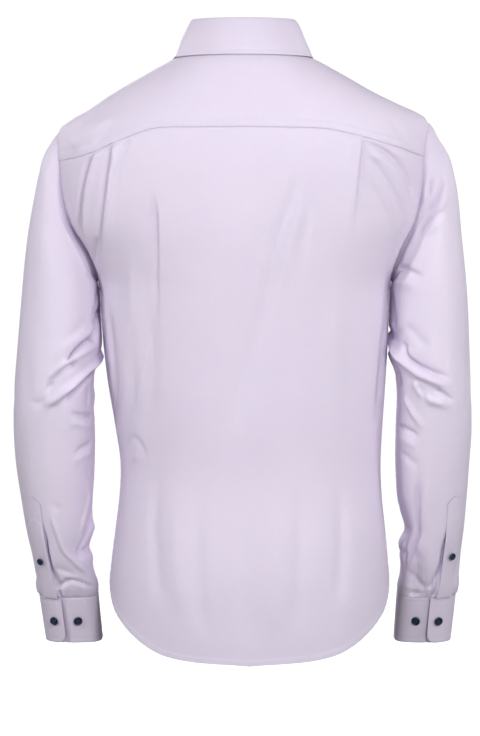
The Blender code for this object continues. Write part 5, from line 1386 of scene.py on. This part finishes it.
def make_leaf():
    fine = np.linspace(-1, 1, 900)
    run = lengths(leaf(fine, (1.0,))[-1])
    at = np.interp(near_ends(run[-1], 0.0010, 0.0026) * run[-1], run, fine)
    rows = leaf(at, (0.12, 0.30, 0.50, 0.70, 0.86, 1.0))
    k = np.concatenate([np.linspace(0, 2, 12)[:-1], np.linspace(2, 3, 6)[:-1], np.linspace(3, 7, 20)[:-1],
                        np.linspace(7, 8, 9)])
    outer = spline(k, rows)
    n = grid_normals(outer, np.array([0.0, 0.0, -0.30]))
    border = np.concatenate([outer[8:, 0], outer[-1], outer[8:, -1][::-1]])
    away, along = near_line(outer, border)
    rise = -0.00028 * np.exp(-((away - 0.0062) / 0.0010) ** 2) + 0.00010 * np.exp(-((away - 0.0032) / 0.0020) ** 2)
    rise = rise - 0.00040 * (1 - ease(away / 0.0011)) * (np.arange(len(outer)) > 10)[:, None]
    rise = rise + 0.00030 * ripple(outer, 5.1, 22.0, 1.2) * ease(away / 0.01)
    outer = outer + n * rise[..., None]
    normal = grid_normals(outer, np.array([0.0, 0.0, -0.30]))
    sew(outer, normal, away, 0.0062, lambda p: np.ones(len(p), bool))
    thick = 0.0007 + (STIFF - 0.0007) * ease(away / 0.006)
    obj = shell("collar_leaf", outer, outer - normal * thick[..., None], crisp, sharp=60)
    return finish_piece(obj, "collar_leaf")


# ------------------------------------------------------------------ sleeves
def sleeve_rise(which, points):
    return relief(points, SLEEVE_MADE[which]) + undulate(points, 0.0008, 0.0002)


def sleeve_shape(which, theta, rings):
    base = sleeve(which, theta, rings)
    n = grid_normals(base, base.mean(1, keepdims=True), True)
    return base, n


def close_in(outer, normal, side, torso, top=-0.279, low=-0.408):
    """Brings the inner side of a sleeve within half a millimetre of the torso below the armhole."""
    from mathutils.bvhtree import BVHTree
    graph = bpy.context.evaluated_depsgraph_get()
    trees = [BVHTree.FromObject(o, graph) for o in torso]
    way = Vector((-side, 0.0, 0.0))
    gap = np.full(outer.shape[:2], 9.0)
    for i, j in zip(*np.nonzero((normal[..., 0] * side < -0.3) & (outer[..., 2] < top + 0.01)
                                & (outer[..., 2] > low - 0.05))):
        for tree in trees:
            hit = tree.ray_cast(Vector(outer[i, j]), way, 0.03)
            if hit[0] is not None:
                gap[i, j] = min(gap[i, j], hit[3])
    least = np.clip(gap.min(1) - 0.0005, 0.0, 0.0070)
    least[gap.min(1) > 1.0] = 0.0
    least = np.minimum.reduce([np.roll(least, k) for k in (-2, -1, 0, 1, 2)])
    least = np.convolve(least, np.ones(5) / 5, "same")
    z = outer[..., 2]
    zone = ease((top - z) / 0.010) * ease((z - low) / 0.030)
    weight = np.clip(-normal[..., 0] * side, 0, 1) ** 1.5 * zone
    moved = outer.copy()
    moved[..., 0] -= side * least[:, None] * weight
    return moved


def make_sleeve(which):
    side = 1 if which == "left" else -1
    # finer behind, where the folds are, than in front
    theta = np.interp(np.linspace(0, 1, 160, endpoint=False), (0.0, 0.63, 1.0), (math.radians(-12), math.radians(196),
                                                                                math.radians(348)))
    run = lengths(sleeve(which, np.array([math.radians(60.0)]), np.linspace(0, 15, 600))[:, 0])
    total = run[-1]

    def step(x):
        elbow = np.exp(-((x - 0.30) / 0.10) ** 2)
        return 0.0031 - 0.0010 * elbow - 0.0016 * (1 - ease(x / 0.02)) - 0.0012 * ease((x - total + 0.03) / 0.02)

    rings = np.interp(spaced(total, step) * total, run, np.linspace(0, 15, 600))
    base, n = sleeve_shape(which, theta, rings)
    rise = sleeve_rise(which, base) + relief(base, GUTTER_MADE[which]) + raised(which, theta, rings)
    seam_away, _ = near_line(base, np.concatenate([base[0], base[0, :1]]))
    quiet = 0.15 + 0.85 * ease((seam_away - 0.002) / 0.010)
    top = ease((np.cos(theta) - 0.30) / 0.40)[None, :]
    head = 0.0011 * np.exp(-((seam_away - 0.010) / 0.008) ** 2) * ease(np.cos(theta) * 0.5 + 0.8)[None, :]
    tuck = (-0.0010 + 0.0007 * top) * (1 - ease(seam_away / 0.005))
    folded = low_armhole(base[..., 2]) * ease(np.sin(theta) / 0.35)[None, :]
    tuck = tuck - 0.0034 * folded * np.exp(-(seam_away / 0.0040) ** 2)
    head = head + 0.0016 * folded * np.exp(-((seam_away - 0.0115) / 0.0065) ** 2)
    inner_seam = sleeve(which, np.array([math.pi]), np.linspace(0, 15, 300))[:, 0]
    felled, felled_away = over(base, inner_seam, 0.0075, (0.0014, 0.0066), 0.0001)
    one_side = (np.sin(theta) < 0.0)[None, :]
    felled = np.where(one_side, felled, 0.0)
    blouse = 0.0012 * np.exp(-((rings - 14.45) / 0.42) ** 2)[:, None]
    outer = base + n * (rise * quiet + head + tuck + felled * ease(seam_away / 0.01) + blouse)[..., None]
    normal = grid_normals(outer, outer.mean(1, keepdims=True), True)
    inner = (0.5 - 0.5 * np.cos(theta))[None, :] ** 1.6
    for z, up, down, deep in PINCHES[which]:
        d = outer[..., 2] - z
        outer[..., 0] += side * deep * inner * np.exp(-(d / np.where(d > 0, up, down)) ** 2)
    normal = grid_normals(outer, outer.mean(1, keepdims=True), True)
    outer = close_in(outer, normal, side, [back, front_left if side > 0 else front_right])
    # into the cuff: the last rows close in on its inner face
    t = np.array([-0.02, 0.02, 0.07])
    face, out = cuff_layers(which, lap_turn(which, theta), t)
    goal = face + out * np.array([0.0, -0.0018, -0.0024])[:, None, None]
    outer = np.concatenate([outer[:-2], goal])
    normal = grid_normals(outer, outer.mean(1, keepdims=True), True)
    way = unit(outer[0] - outer[2])
    first = outer[0] + way * 0.0045 - normal[0] * 0.0006
    outer = np.concatenate([first[None], outer])
    normal = np.concatenate([normal[:1], normal])
    wide = np.concatenate([np.full((1, len(theta)), 9.0), np.where(one_side, felled_away, 9.0)[:-2],
                           np.full((3, len(theta)), 9.0)])
    for g in (0.0014, 0.0066):
        sew(outer, normal, wide, g, lambda p: p[:, 2] > -0.69)
    obj = shell("sleeve_" + which, outer, outer - normal * CLOTH, cloth, loop=True)
    return finish_piece(obj, "sleeve_" + which)


def make_cuff(which):
    edge = LAPS[which][LAP_COLUMNS.index("edge")]
    fine = np.linspace(edge, edge - 360.0 - LAP["under"], 1500)
    run = lengths(cuff_layers(which, fine, np.array([0.5]))[0][0])
    turn = np.interp(near_ends(run[-1], 0.0009, 0.0026) * run[-1], run, fine)
    reach = lengths(cuff_layers(which, turn, np.array([0.9]))[0][0])
    limit = rounded_limit(reach, reach[-1], 0.0625, 0.0125)
    rows = near_ends(0.0625, 0.0009, 0.0021, reach=0.008)
    t = rows[:, None] * limit[None, :]
    outer, out = cuff_layers(which, turn, t)
    border = np.concatenate([outer[:, 0], outer[-1], outer[::-1, -1]])
    away, _ = near_line(outer, border)
    top_away, _ = near_line(outer, outer[0])
    rise = -0.00028 * np.exp(-((away - 0.0060) / 0.0010) ** 2) - 0.00022 * np.exp(-((top_away - 0.0058) / 0.0010) ** 2)
    rise = rise - 0.00040 * (1 - ease(away / 0.0011)) - 0.00030 * (1 - ease(top_away / 0.0011))
    rise = rise + 0.00035 * ripple(outer, 8.3, 30.0, 1.5) * ease(away / 0.012)
    # the flap's edge curls out, and the layer below gives way beside it
    curl = 0.0019 * np.exp(-(reach / 0.010) ** 2)[None, :] * (0.2 + 0.8 * rows)[:, None]
    sunk = 0.0017 * np.exp(-((turn - (edge - 360.0) + 1.5) / 8.0) ** 2)[None, :] * (0.3 + 0.7 * rows)[:, None]
    outer = outer + out * (rise + curl - sunk)[..., None]
    normal = grid_normals(outer, outer.mean((0, 1), keepdims=True))
    sew(outer, normal, away, 0.0060)
    sew(outer, normal, top_away, 0.0058)
    obj = shell("cuff_" + which, outer, outer - out * STIFF, crisp)
    return finish_piece(obj, "cuff_" + which)


def placket_grid(which, rings, across, lift):
    """Points on a strip of the sleeve beside its opening; across 0 at the free edge."""
    row = dict(zip(PLACKET_COLUMNS, PLACKETS[which]))
    rings = np.asarray(rings, float)
    f = np.clip((rings - PLACKET["top_ring"]) / (15.0 - PLACKET["top_ring"]), 0, 1) ** 2.5
    edge = np.radians(row["edge_top"] + f * (row["edge_cuff"] - row["edge_top"]))
    theta = np.radians(np.linspace(-20, 110, 131))
    base = sleeve(which, theta, rings)
    n = grid_normals(base, base[:, :1] * np.array([0.85, 1.0, 1.0]))
    base = base + n * (sleeve_rise(which, base) + raised(which, np.minimum(theta, np.radians(row["edge_cuff"])), rings)
                       + lift)[..., None]
    out, normal = np.empty((2, len(rings), len(across), 3))
    for i in range(len(rings)):
        run = lengths(base[i])
        here = np.interp(edge[i], theta, run) - np.asarray(across)
        for k in range(3):
            out[i, :, k] = np.interp(here, run, base[i, :, k])
            normal[i, :, k] = np.interp(here, run, n[i, :, k])
    return out, unit(normal)


def make_placket(which):
    width = PLACKET["width"]
    across = np.linspace(0, width, 27)
    rings = np.linspace(PLACKET["top_ring"] - 0.02, 15.02, 240)
    base, n = placket_grid(which, np.minimum(rings, 15.0), across, PLACKET["lift"] + 0.0005)
    high = 0.0085
    off = np.abs(2 * across / width - 1)
    drop = high * (off if which == "left" else off**1.8)
    per_ring = np.linalg.norm(base[-1, 13] - base[0, 13]) / (rings[-1] - rings[0])
    w = near_ends(0.165, 0.0009, 0.0022, reach=0.009, end=False)
    top = rings[0] + drop / per_ring
    at = top[None, :] + w[:, None] * (rings[-1] - top)[None, :]
    index = (at - rings[0]) / (rings[-1] - rings[0]) * (len(rings) - 1)
    cols = np.broadcast_to(np.arange(len(across))[None, :], index.shape)
    where = np.stack([index.ravel(), cols.ravel().astype(float)], -1)
    outer = sample(base, where).reshape(*index.shape, 3)
    normal = unit(sample(n, where).reshape(*index.shape, 3))
    border = np.concatenate([outer[::-1, 0], outer[0], outer[:, -1]])
    away, _ = near_line(outer, border)
    rise = -0.00030 * np.exp(-((away - 0.0018) / 0.0008) ** 2) - 0.00035 * (1 - ease(away / 0.0010))
    rise = rise + 0.00045 * np.exp(-((np.abs(outer[:, 13] - outer[0, 13]).max(-1)[:, None] - 0.0312) / 0.0016) ** 2)
    rise = rise + 0.00050 * np.exp(-((away - 0.0012) / 0.0012) ** 2) * (w * 0.165 < 0.004)[:, None]
    # its free edge stands off the sleeve below the bar of stitches
    stands = 0.0014 * np.exp(-(across / 0.006) ** 2)[None, :] * ease((w * 0.165 - 0.030) / 0.025)[:, None]
    outer = outer + normal * (rise + 0.0003 + stands)[..., None]
    normal = grid_normals(outer, outer.mean((0, 1)) * np.array([0.85, 0.6, 1.0]))
    point = outer[0, :, 2].min() - 0.0005
    sew(outer, normal, away, 0.0018, lambda p: (p[:, 2] > -0.694) & (p[:, 2] <= point))
    sew(outer, normal, away, 0.0014, lambda p: p[:, 2] > point, BOLD)
    # the bar of stitches below the point
    tip = outer[0, 13]
    run = np.linalg.norm(outer[:, 13] - tip, axis=-1)
    for far in (0.0300, 0.0325):
        i = int(np.argmin(np.abs(run - far)))
        line = np.stack([np.full(24, float(i)), np.linspace(1.9, 24.1, 24)], -1)
        BOLD.append((sample(outer, line), unit(sample(normal, line))))
    obj = shell("placket_" + which, outer, outer - normal * 0.0011, cloth)
    return finish_piece(obj, "placket_" + which)


# ------------------------------------------------------------------ stitches
def stitch_mesh(name, marks, mat, length, radius):
    """Short rounded threads at marks of (place, way along, normal)."""
    place, way, up = (np.array(k) for k in zip(*marks))
    way, up = unit(way), unit(up)
    place = place - up * radius * 0.7
    across = unit(np.cross(way, up))
    up = np.cross(across, way)
    sides = 4
    turn = np.linspace(0, 2 * math.pi, sides, endpoint=False)
    ring = np.cos(turn)[:, None, None] * across[None] + np.sin(turn)[:, None, None] * up[None]
    verts = []
    for at, wide, high in ((-0.5, 0.35, -0.5), (-0.26, 1.0, 0.45), (0.26, 1.0, 0.45), (0.5, 0.35, -0.5)):
        centre = place + way * (at * length) + up * (high * radius)
        verts.append(centre[None] + ring * (wide * radius))
    verts = np.stack(verts)                      # section, side, mark, xyz
    sections = len(verts)
    verts = verts.transpose(2, 0, 1, 3).reshape(-1, 3)
    faces = []
    for a in range(sections - 1):
        for b in range(sides):
            c = (b + 1) % sides
            faces.append((a * sides + b, a * sides + c, (a + 1) * sides + c, (a + 1) * sides + b))
    faces = np.array(faces)
    every = (faces[None] + (np.arange(len(place)) * sections * sides)[:, None, None]).reshape(-1, 4)
    return add_mesh(name, verts, every, mat, None, 180)


def marks_along(line, normals, pitch=PITCH):
    run = lengths(line)
    count = int(run[-1] / pitch)
    if count < 1:
        return []
    at = (np.arange(count) + 0.5) * run[-1] / count
    p = np.stack([np.interp(at, run, line[:, k]) for k in range(3)], -1)
    a = np.stack([np.interp(at - 0.0006, run, line[:, k]) for k in range(3)], -1)
    b = np.stack([np.interp(at + 0.0006, run, line[:, k]) for k in range(3)], -1)
    n = np.stack([np.interp(at, run, normals[:, k]) for k in range(3)], -1)
    return list(zip(p, b - a, n))


# ------------------------------------------------------------------ buttons
def button_place(name, away):
    """Centre of a CAD button's foot, and its axis turned towards away."""
    co = np.array([v.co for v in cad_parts[name].data.vertices])
    co = np.unique(np.round(co, 6), axis=0)
    centre = (co.max(0) + co.min(0)) / 2
    values, vectors = np.linalg.eigh(np.cov((co - co.mean(0)).T))
    axis = vectors[:, 0]
    axis = axis if axis @ np.array(away) > 0 else -axis
    h = (co - centre) @ axis
    radius = np.linalg.norm((co - centre) - h[:, None] * axis, axis=1).max()
    return centre + axis * h.min(), axis, radius


def button_mesh(radius, name):
    """Four hole button: rounded rim, sunk face, holes that go through."""
    profile = ((0.0, 0.00), (0.72, 0.00), (0.90, 0.10), (0.985, 0.30), (1.0, 0.52), (0.985, 0.72), (0.94, 0.90),
               (0.88, 0.985), (0.82, 1.0), (0.76, 0.965), (0.70, 0.86), (0.64, 0.77), (0.56, 0.73), (0.30, 0.72), (0.0, 0.72))
    sides = 40
    turn = np.linspace(0, 2 * math.pi, sides, endpoint=False)
    verts, rings, faces = [], [], []
    for r, h in profile:
        count = 1 if r == 0 else sides
        rings.append(list(range(len(verts), len(verts) + count)))
        if r == 0:
            verts.append((0.0, 0.0, h * BUTTON_T))
        else:
            verts += [(radius * r * math.cos(a), radius * r * math.sin(a), h * BUTTON_T) for a in turn]
    mesh = bpy.data.meshes.new(name)
    for p, q in zip(rings, rings[1:]):
        for j in range(sides):
            k = (j + 1) % sides
            if len(p) == 1:
                faces.append((p[0], q[k], q[j]))
            elif len(q) == 1:
                faces.append((p[j], p[k], q[0]))
            else:
                faces.append((p[j], p[k], q[k], q[j]))
    mesh.from_pydata(verts, [], faces)
    mesh.update()
    obj = bpy.data.objects.new(name, mesh)
    bpy.context.scene.collection.objects.link(obj)
    hole, gap = radius * 0.125, radius * 0.215
    cutter_mesh = bpy.data.meshes.new(name + "_cutter")
    cv, cf = [], []
    for cx, cy in ((gap, gap), (-gap, gap), (-gap, -gap), (gap, -gap)):
        start = len(cv)
        for z in (-0.001, BUTTON_T + 0.001):
            for k in range(14):
                a = 2 * math.pi * k / 14
                cv.append((cx + hole * math.cos(a), cy + hole * math.sin(a), z))
        for k in range(14):
            m = (k + 1) % 14
            cf.append((start + k, start + m, start + 14 + m, start + 14 + k))
        cf.append(tuple(start + k for k in reversed(range(14))))
        cf.append(tuple(start + 14 + k for k in range(14)))
    cutter_mesh.from_pydata(cv, [], cf)
    cutter_mesh.update()
    cutter = bpy.data.objects.new(name + "_cutter", cutter_mesh)
    bpy.context.scene.collection.objects.link(cutter)
    mod = obj.modifiers.new("holes", "BOOLEAN")
    mod.operation, mod.solver, mod.object = "DIFFERENCE", "EXACT", cutter
    graph = bpy.context.evaluated_depsgraph_get()
    final = bpy.data.meshes.new_from_object(obj.evaluated_get(graph))
    bpy.data.objects.remove(obj)
    bpy.data.objects.remove(cutter)
    co = np.zeros(len(final.vertices) * 3)
    final.vertices.foreach_get("co", co)
    faces = [tuple(p.vertices) for p in final.polygons]
    return co.reshape(-1, 3), faces, gap


BUTTON_SHAPES = {}
TIES, HOLES = [], []


def make_button(name, away, lift, hole_way=None, hole_long=0.0135, hole_back=0.002):
    foot, axis, radius = button_place(name, away)
    foot = foot + axis * lift
    key = round(radius, 4)
    if key not in BUTTON_SHAPES:
        BUTTON_SHAPES[key] = button_mesh(radius, "shape_%d" % len(BUTTON_SHAPES))
    verts, faces, gap = BUTTON_SHAPES[key]
    way = np.array([0.0, 0.0, 1.0]) if hole_way is None else np.array(hole_way)
    e1 = unit(way - (way @ axis) * axis)
    e2 = np.cross(axis, e1)
    wobble = math.radians(8.0 * math.sin(7.3 * len(TIES)))
    e1, e2 = e1 * math.cos(wobble) + e2 * math.sin(wobble), e2 * math.cos(wobble) - e1 * math.sin(wobble)
    placed = foot + verts[:, :1] * e1 + verts[:, 1:2] * e2 + verts[:, 2:] * axis
    mesh = bpy.data.meshes.new(name + "_look")
    mesh.from_pydata(placed.tolist(), [], faces)
    mesh.update()
    mesh.shade_smooth()
    mesh.set_sharp_from_angle(angle=math.radians(38))
    mesh.materials.append(navy)
    obj = bpy.data.objects.new(name + "_look", mesh)
    bpy.context.scene.collection.objects.link(obj)
    top = foot + axis * (0.72 * BUTTON_T)
    for k, (a, b) in enumerate((((gap, gap), (-gap, -gap)), ((gap, -gap), (-gap, gap)))):
        p, q = (top + e1 * c[0] + e2 * c[1] for c in (a, b))
        for off in (-0.00016, 0.00016):
            across = unit(np.cross(q - p, axis)) * off
            TIES.append(((p + q) / 2 + across + axis * (0.00012 + 0.0002 * k), q - p, axis, np.linalg.norm(q - p) * 1.25))
    finish_piece(obj, name)
    if hole_way is not None:
        HOLES.append((foot, axis, np.array(hole_way, float), hole_long, hole_back))
    return obj


def hole_marks(foot, axis, way, long, back, ground):
    """Close stitches on both lips of a buttonhole, and across its ends."""
    way = unit(way - (way @ axis) * axis)
    side = np.cross(axis, way)
    start = foot - way * back
    marks = []
    for lip in (-1, 1):
        for k in np.arange(0, long, 0.00048):
            marks.append((start + way * k + side * (lip * 0.00085), side, axis))
    for end in (0.0, long):
        for k in np.linspace(-0.0011, 0.0011, 5):
            marks.append((start + way * end + side * k, way, axis))
    return [(ground(p), w, n) for p, w, n in marks]


# ------------------------------------------------------------------ build
back = make_back()
yoke, _ = make_yoke()
front_left, front_right = make_front(1), make_front(-1)
band = make_band()
stand = make_stand()
collar = make_leaf()
pieces = {}
for which in ("left", "right"):
    pieces["sleeve_" + which] = make_sleeve(which)
    pieces["cuff_" + which] = make_cuff(which)
    pieces["placket_" + which] = make_placket(which)

make_button("button_1", (0, -1, 0), 0.0)
for name, _ in FRONT_BUTTONS:
    make_button(name, (0, -1, 0), 0.0006, (0, 0, -1))
for which in ("left", "right"):
    side = 1 if which == "left" else -1
    make_button("cuff_button_%s_flap" % which, (0, 1, 0), 0.0, (side, 0.0, 0.0))
    make_button("cuff_button_%s_spare" % which, (0, 1, 0), 0.0)
    foot, axis, _ = button_place("placket_button_" + which, (0, 1, 0))
    lift = float(sleeve_rise(which, foot[None])[0])
    make_button("placket_button_" + which, (0, 1, 0), lift + 0.0004, (0, 0, -1), 0.0110)

marks = []
for line, normal in SEWN:
    marks += marks_along(line, normal)
seams = finish_piece(stitch_mesh("seam_stitches", marks, lilac_thread, 0.0021, THREAD), None)
marks = []
for line, normal in BOLD:
    marks += marks_along(line, normal, 0.0024)
bold = finish_piece(stitch_mesh("placket_stitches", marks, lilac_thread, 0.0022, 0.00034), None)


class Ground:
    """Puts a place on the nearest shown cloth."""

    def __init__(self, objects):
        from mathutils.bvhtree import BVHTree
        graph = bpy.context.evaluated_depsgraph_get()
        self.trees = [BVHTree.FromObject(o, graph) for o in objects]

    def on(self, place, axis):
        best = None
        start = Vector(place + axis * 0.006)
        for tree in self.trees:
            hit, _, _, far = tree.ray_cast(start, Vector(-axis), 0.014)
            if hit is not None and (best is None or far < best[1]):
                best = (np.array(hit), far)
        return place if best is None else best[0]


ground = Ground([band, stand, *pieces.values()])
marks = []
for foot, axis, way, long, back_by in HOLES:
    marks += [(ground.on(p, n), w, n) for p, w, n in hole_marks(foot, axis, way, long, back_by, lambda q: q)]
holes = finish_piece(stitch_mesh("buttonhole_stitches", marks, lilac_thread, 0.0013, 0.00022), None)
ties = []
for k, (place, way, normal, long) in enumerate(TIES):
    one = stitch_mesh("tie_%d" % k, [(place, way, normal)], navy_thread, long, 0.00022)
    ties.append(one)
verts, faces, start = [], [], 0
for one in ties:
    co = np.array([v.co for v in one.data.vertices])
    verts.append(co)
    faces += [tuple(start + v for v in p.vertices) for p in one.data.polygons]
    start += len(co)
    bpy.data.objects.remove(one)
tie_obj = finish_piece(add_mesh("button_threads", np.concatenate(verts), faces, navy_thread, None, 180), None)

# ------------------------------------------------------------------ columns for the cut of each sheet, in metres; no sheets are listed
SHEET_COLUMNS = ("piece", "width", "length", "area", "rests_on")

# ------------------------------------------------------------------ stage, light, camera
scene = bpy.context.scene
floor_mesh = bpy.data.meshes.new("floor")
ring = [(3 * math.cos(2 * math.pi * k / 96), 3 * math.sin(2 * math.pi * k / 96), 0.0) for k in range(96)]
floor_mesh.from_pydata(ring, [], [tuple(range(96))])
floor = bpy.data.objects.new("floor", floor_mesh)
floor.location = (0.0, 0.0, -1.05)
scene.collection.objects.link(floor)
floor_mat, tree, shader = nodes_of("floor")
# pale matt paint, worn unevenly, that thins out to the white of the studio
place = node(tree, "ShaderNodeTexCoord")
ball = node(tree, "ShaderNodeTexGradient", gradient_type="SPHERICAL")
shrink = node(tree, "ShaderNodeMapping", in_Scale=(0.34, 0.34, 0.34))
tree.links.new(place.outputs["Object"], shrink.inputs["Vector"])
tree.links.new(shrink.outputs[0], ball.inputs[0])
fade = node(tree, "ShaderNodeMapRange", interpolation_type="SMOOTHERSTEP", in_1=0.05, in_2=0.62, in_3=0.0, in_4=1.0)
tree.links.new(ball.outputs["Fac"], fade.inputs[0])
tree.links.new(fade.outputs[0], shader.inputs["Alpha"])
mottle = node(tree, "ShaderNodeTexNoise", in_Scale=2.5, in_Detail=4.0)
tree.links.new(place.outputs["Object"], mottle.inputs["Vector"])
paint = node(tree, "ShaderNodeValToRGB")
paint.color_ramp.elements[0].color = (0.86, 0.86, 0.865, 1.0)
paint.color_ramp.elements[1].color = (0.93, 0.93, 0.93, 1.0)
tree.links.new(mottle.outputs["Fac"], paint.inputs[0])
tree.links.new(paint.outputs[0], shader.inputs["Base Color"])
shader.inputs["Roughness"].default_value = 0.85
shader.inputs["Emission Color"].default_value = (1.0, 1.0, 1.0, 1.0)
shader.inputs["Emission Strength"].default_value = 0.40
floor_mesh.materials.append(floor_mat)
floor.visible_diffuse = False
floor.visible_glossy = False
floor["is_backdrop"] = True

world = bpy.data.worlds.new("studio")
scene.world = world
world.use_nodes = True
tree = world.node_tree
tree.nodes.clear()
ray = tree.nodes.new("ShaderNodeLightPath")
way = node(tree, "ShaderNodeTexCoord")
split = tree.nodes.new("ShaderNodeSeparateXYZ")
tree.links.new(way.outputs["Generated"], split.inputs[0])
above = node(tree, "ShaderNodeMapRange", in_1=-1.0, in_2=1.0, in_3=0.12, in_4=0.24)
tree.links.new(split.outputs[2], above.inputs[0])
soft = node(tree, "ShaderNodeBackground", in_Color=(1.0, 1.0, 1.0, 1.0))
tree.links.new(above.outputs[0], soft.inputs["Strength"])
white = node(tree, "ShaderNodeBackground", in_Color=(1.0, 1.0, 1.0, 1.0), in_Strength=1.05)
mix = tree.nodes.new("ShaderNodeMixShader")
output = tree.nodes.new("ShaderNodeOutputWorld")
tree.links.new(ray.outputs["Is Camera Ray"], mix.inputs[0])
tree.links.new(soft.outputs[0], mix.inputs[1])
tree.links.new(white.outputs[0], mix.inputs[2])
tree.links.new(mix.outputs[0], output.inputs[0])


def area_light(name, at, aim, size, power, colour=(1.0, 1.0, 1.0)):
    data = bpy.data.lights.new(name, "AREA")
    data.shape, data.size, data.size_y = "RECTANGLE", size[0], size[1]
    data.energy, data.color = power, colour
    obj = bpy.data.objects.new(name, data)
    scene.collection.objects.link(obj)
    obj.location = at
    obj.rotation_euler = (Vector(aim) - Vector(at)).to_track_quat("-Z", "Y").to_euler()
    return obj


high = area_light("back_high", (-0.5, 3.6, 0.9), (0.0, 0.1, -0.10), (1.2, 1.0), 0.4)
high.data.spread = math.radians(7.0)       # falls off below the waist
area_light("back_key", (-1.25, 3.5, 1.15), (0.0, 0.1, -0.35), (0.6, 0.6), 66)
area_light("back_fill", (0.4, 3.8, 0.2), (0.0, 0.1, -0.38), (1.0, 1.0), 19)
area_light("back_right", (-3.2, 1.3, 0.6), (0.0, 0.1, -0.30), (0.6, 0.9), 21)
area_light("back_left", (3.0, 2.0, 0.9), (0.0, 0.0, -0.35), (0.8, 0.9), 40)
area_light("front_key", (0.8, -3.8, 0.5), (0.0, -0.1, -0.38), (1.0, 1.0), 70)
area_light("front_left", (3.0, -2.4, 1.0), (0.0, -0.1, -0.35), (0.8, 0.9), 36)
area_light("front_right", (-3.0, -2.4, 0.9), (0.0, 0.0, -0.40), (0.8, 0.9), 24)

camera_data = bpy.data.cameras.new("camera")
camera_data.lens, camera_data.sensor_width = LENS, 36.0
camera_data.clip_start, camera_data.clip_end = 0.05, 60.0
camera = bpy.data.objects.new("camera", camera_data)
scene.collection.objects.link(camera)
camera.location = Vector(CAMERA_AT)
camera.rotation_euler = (math.pi / 2 - TILT, 0.0, math.pi)
scene.camera = camera
scene.view_settings.view_transform = "Standard"
scene.view_settings.look = "None"

triangles = {o.name: sum(len(p.vertices) - 2 for p in o.data.polygons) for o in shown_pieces()}
print("TRIANGLES", sum(triangles.values()), sorted(triangles.items(), key=lambda k: -k[1])[:12])
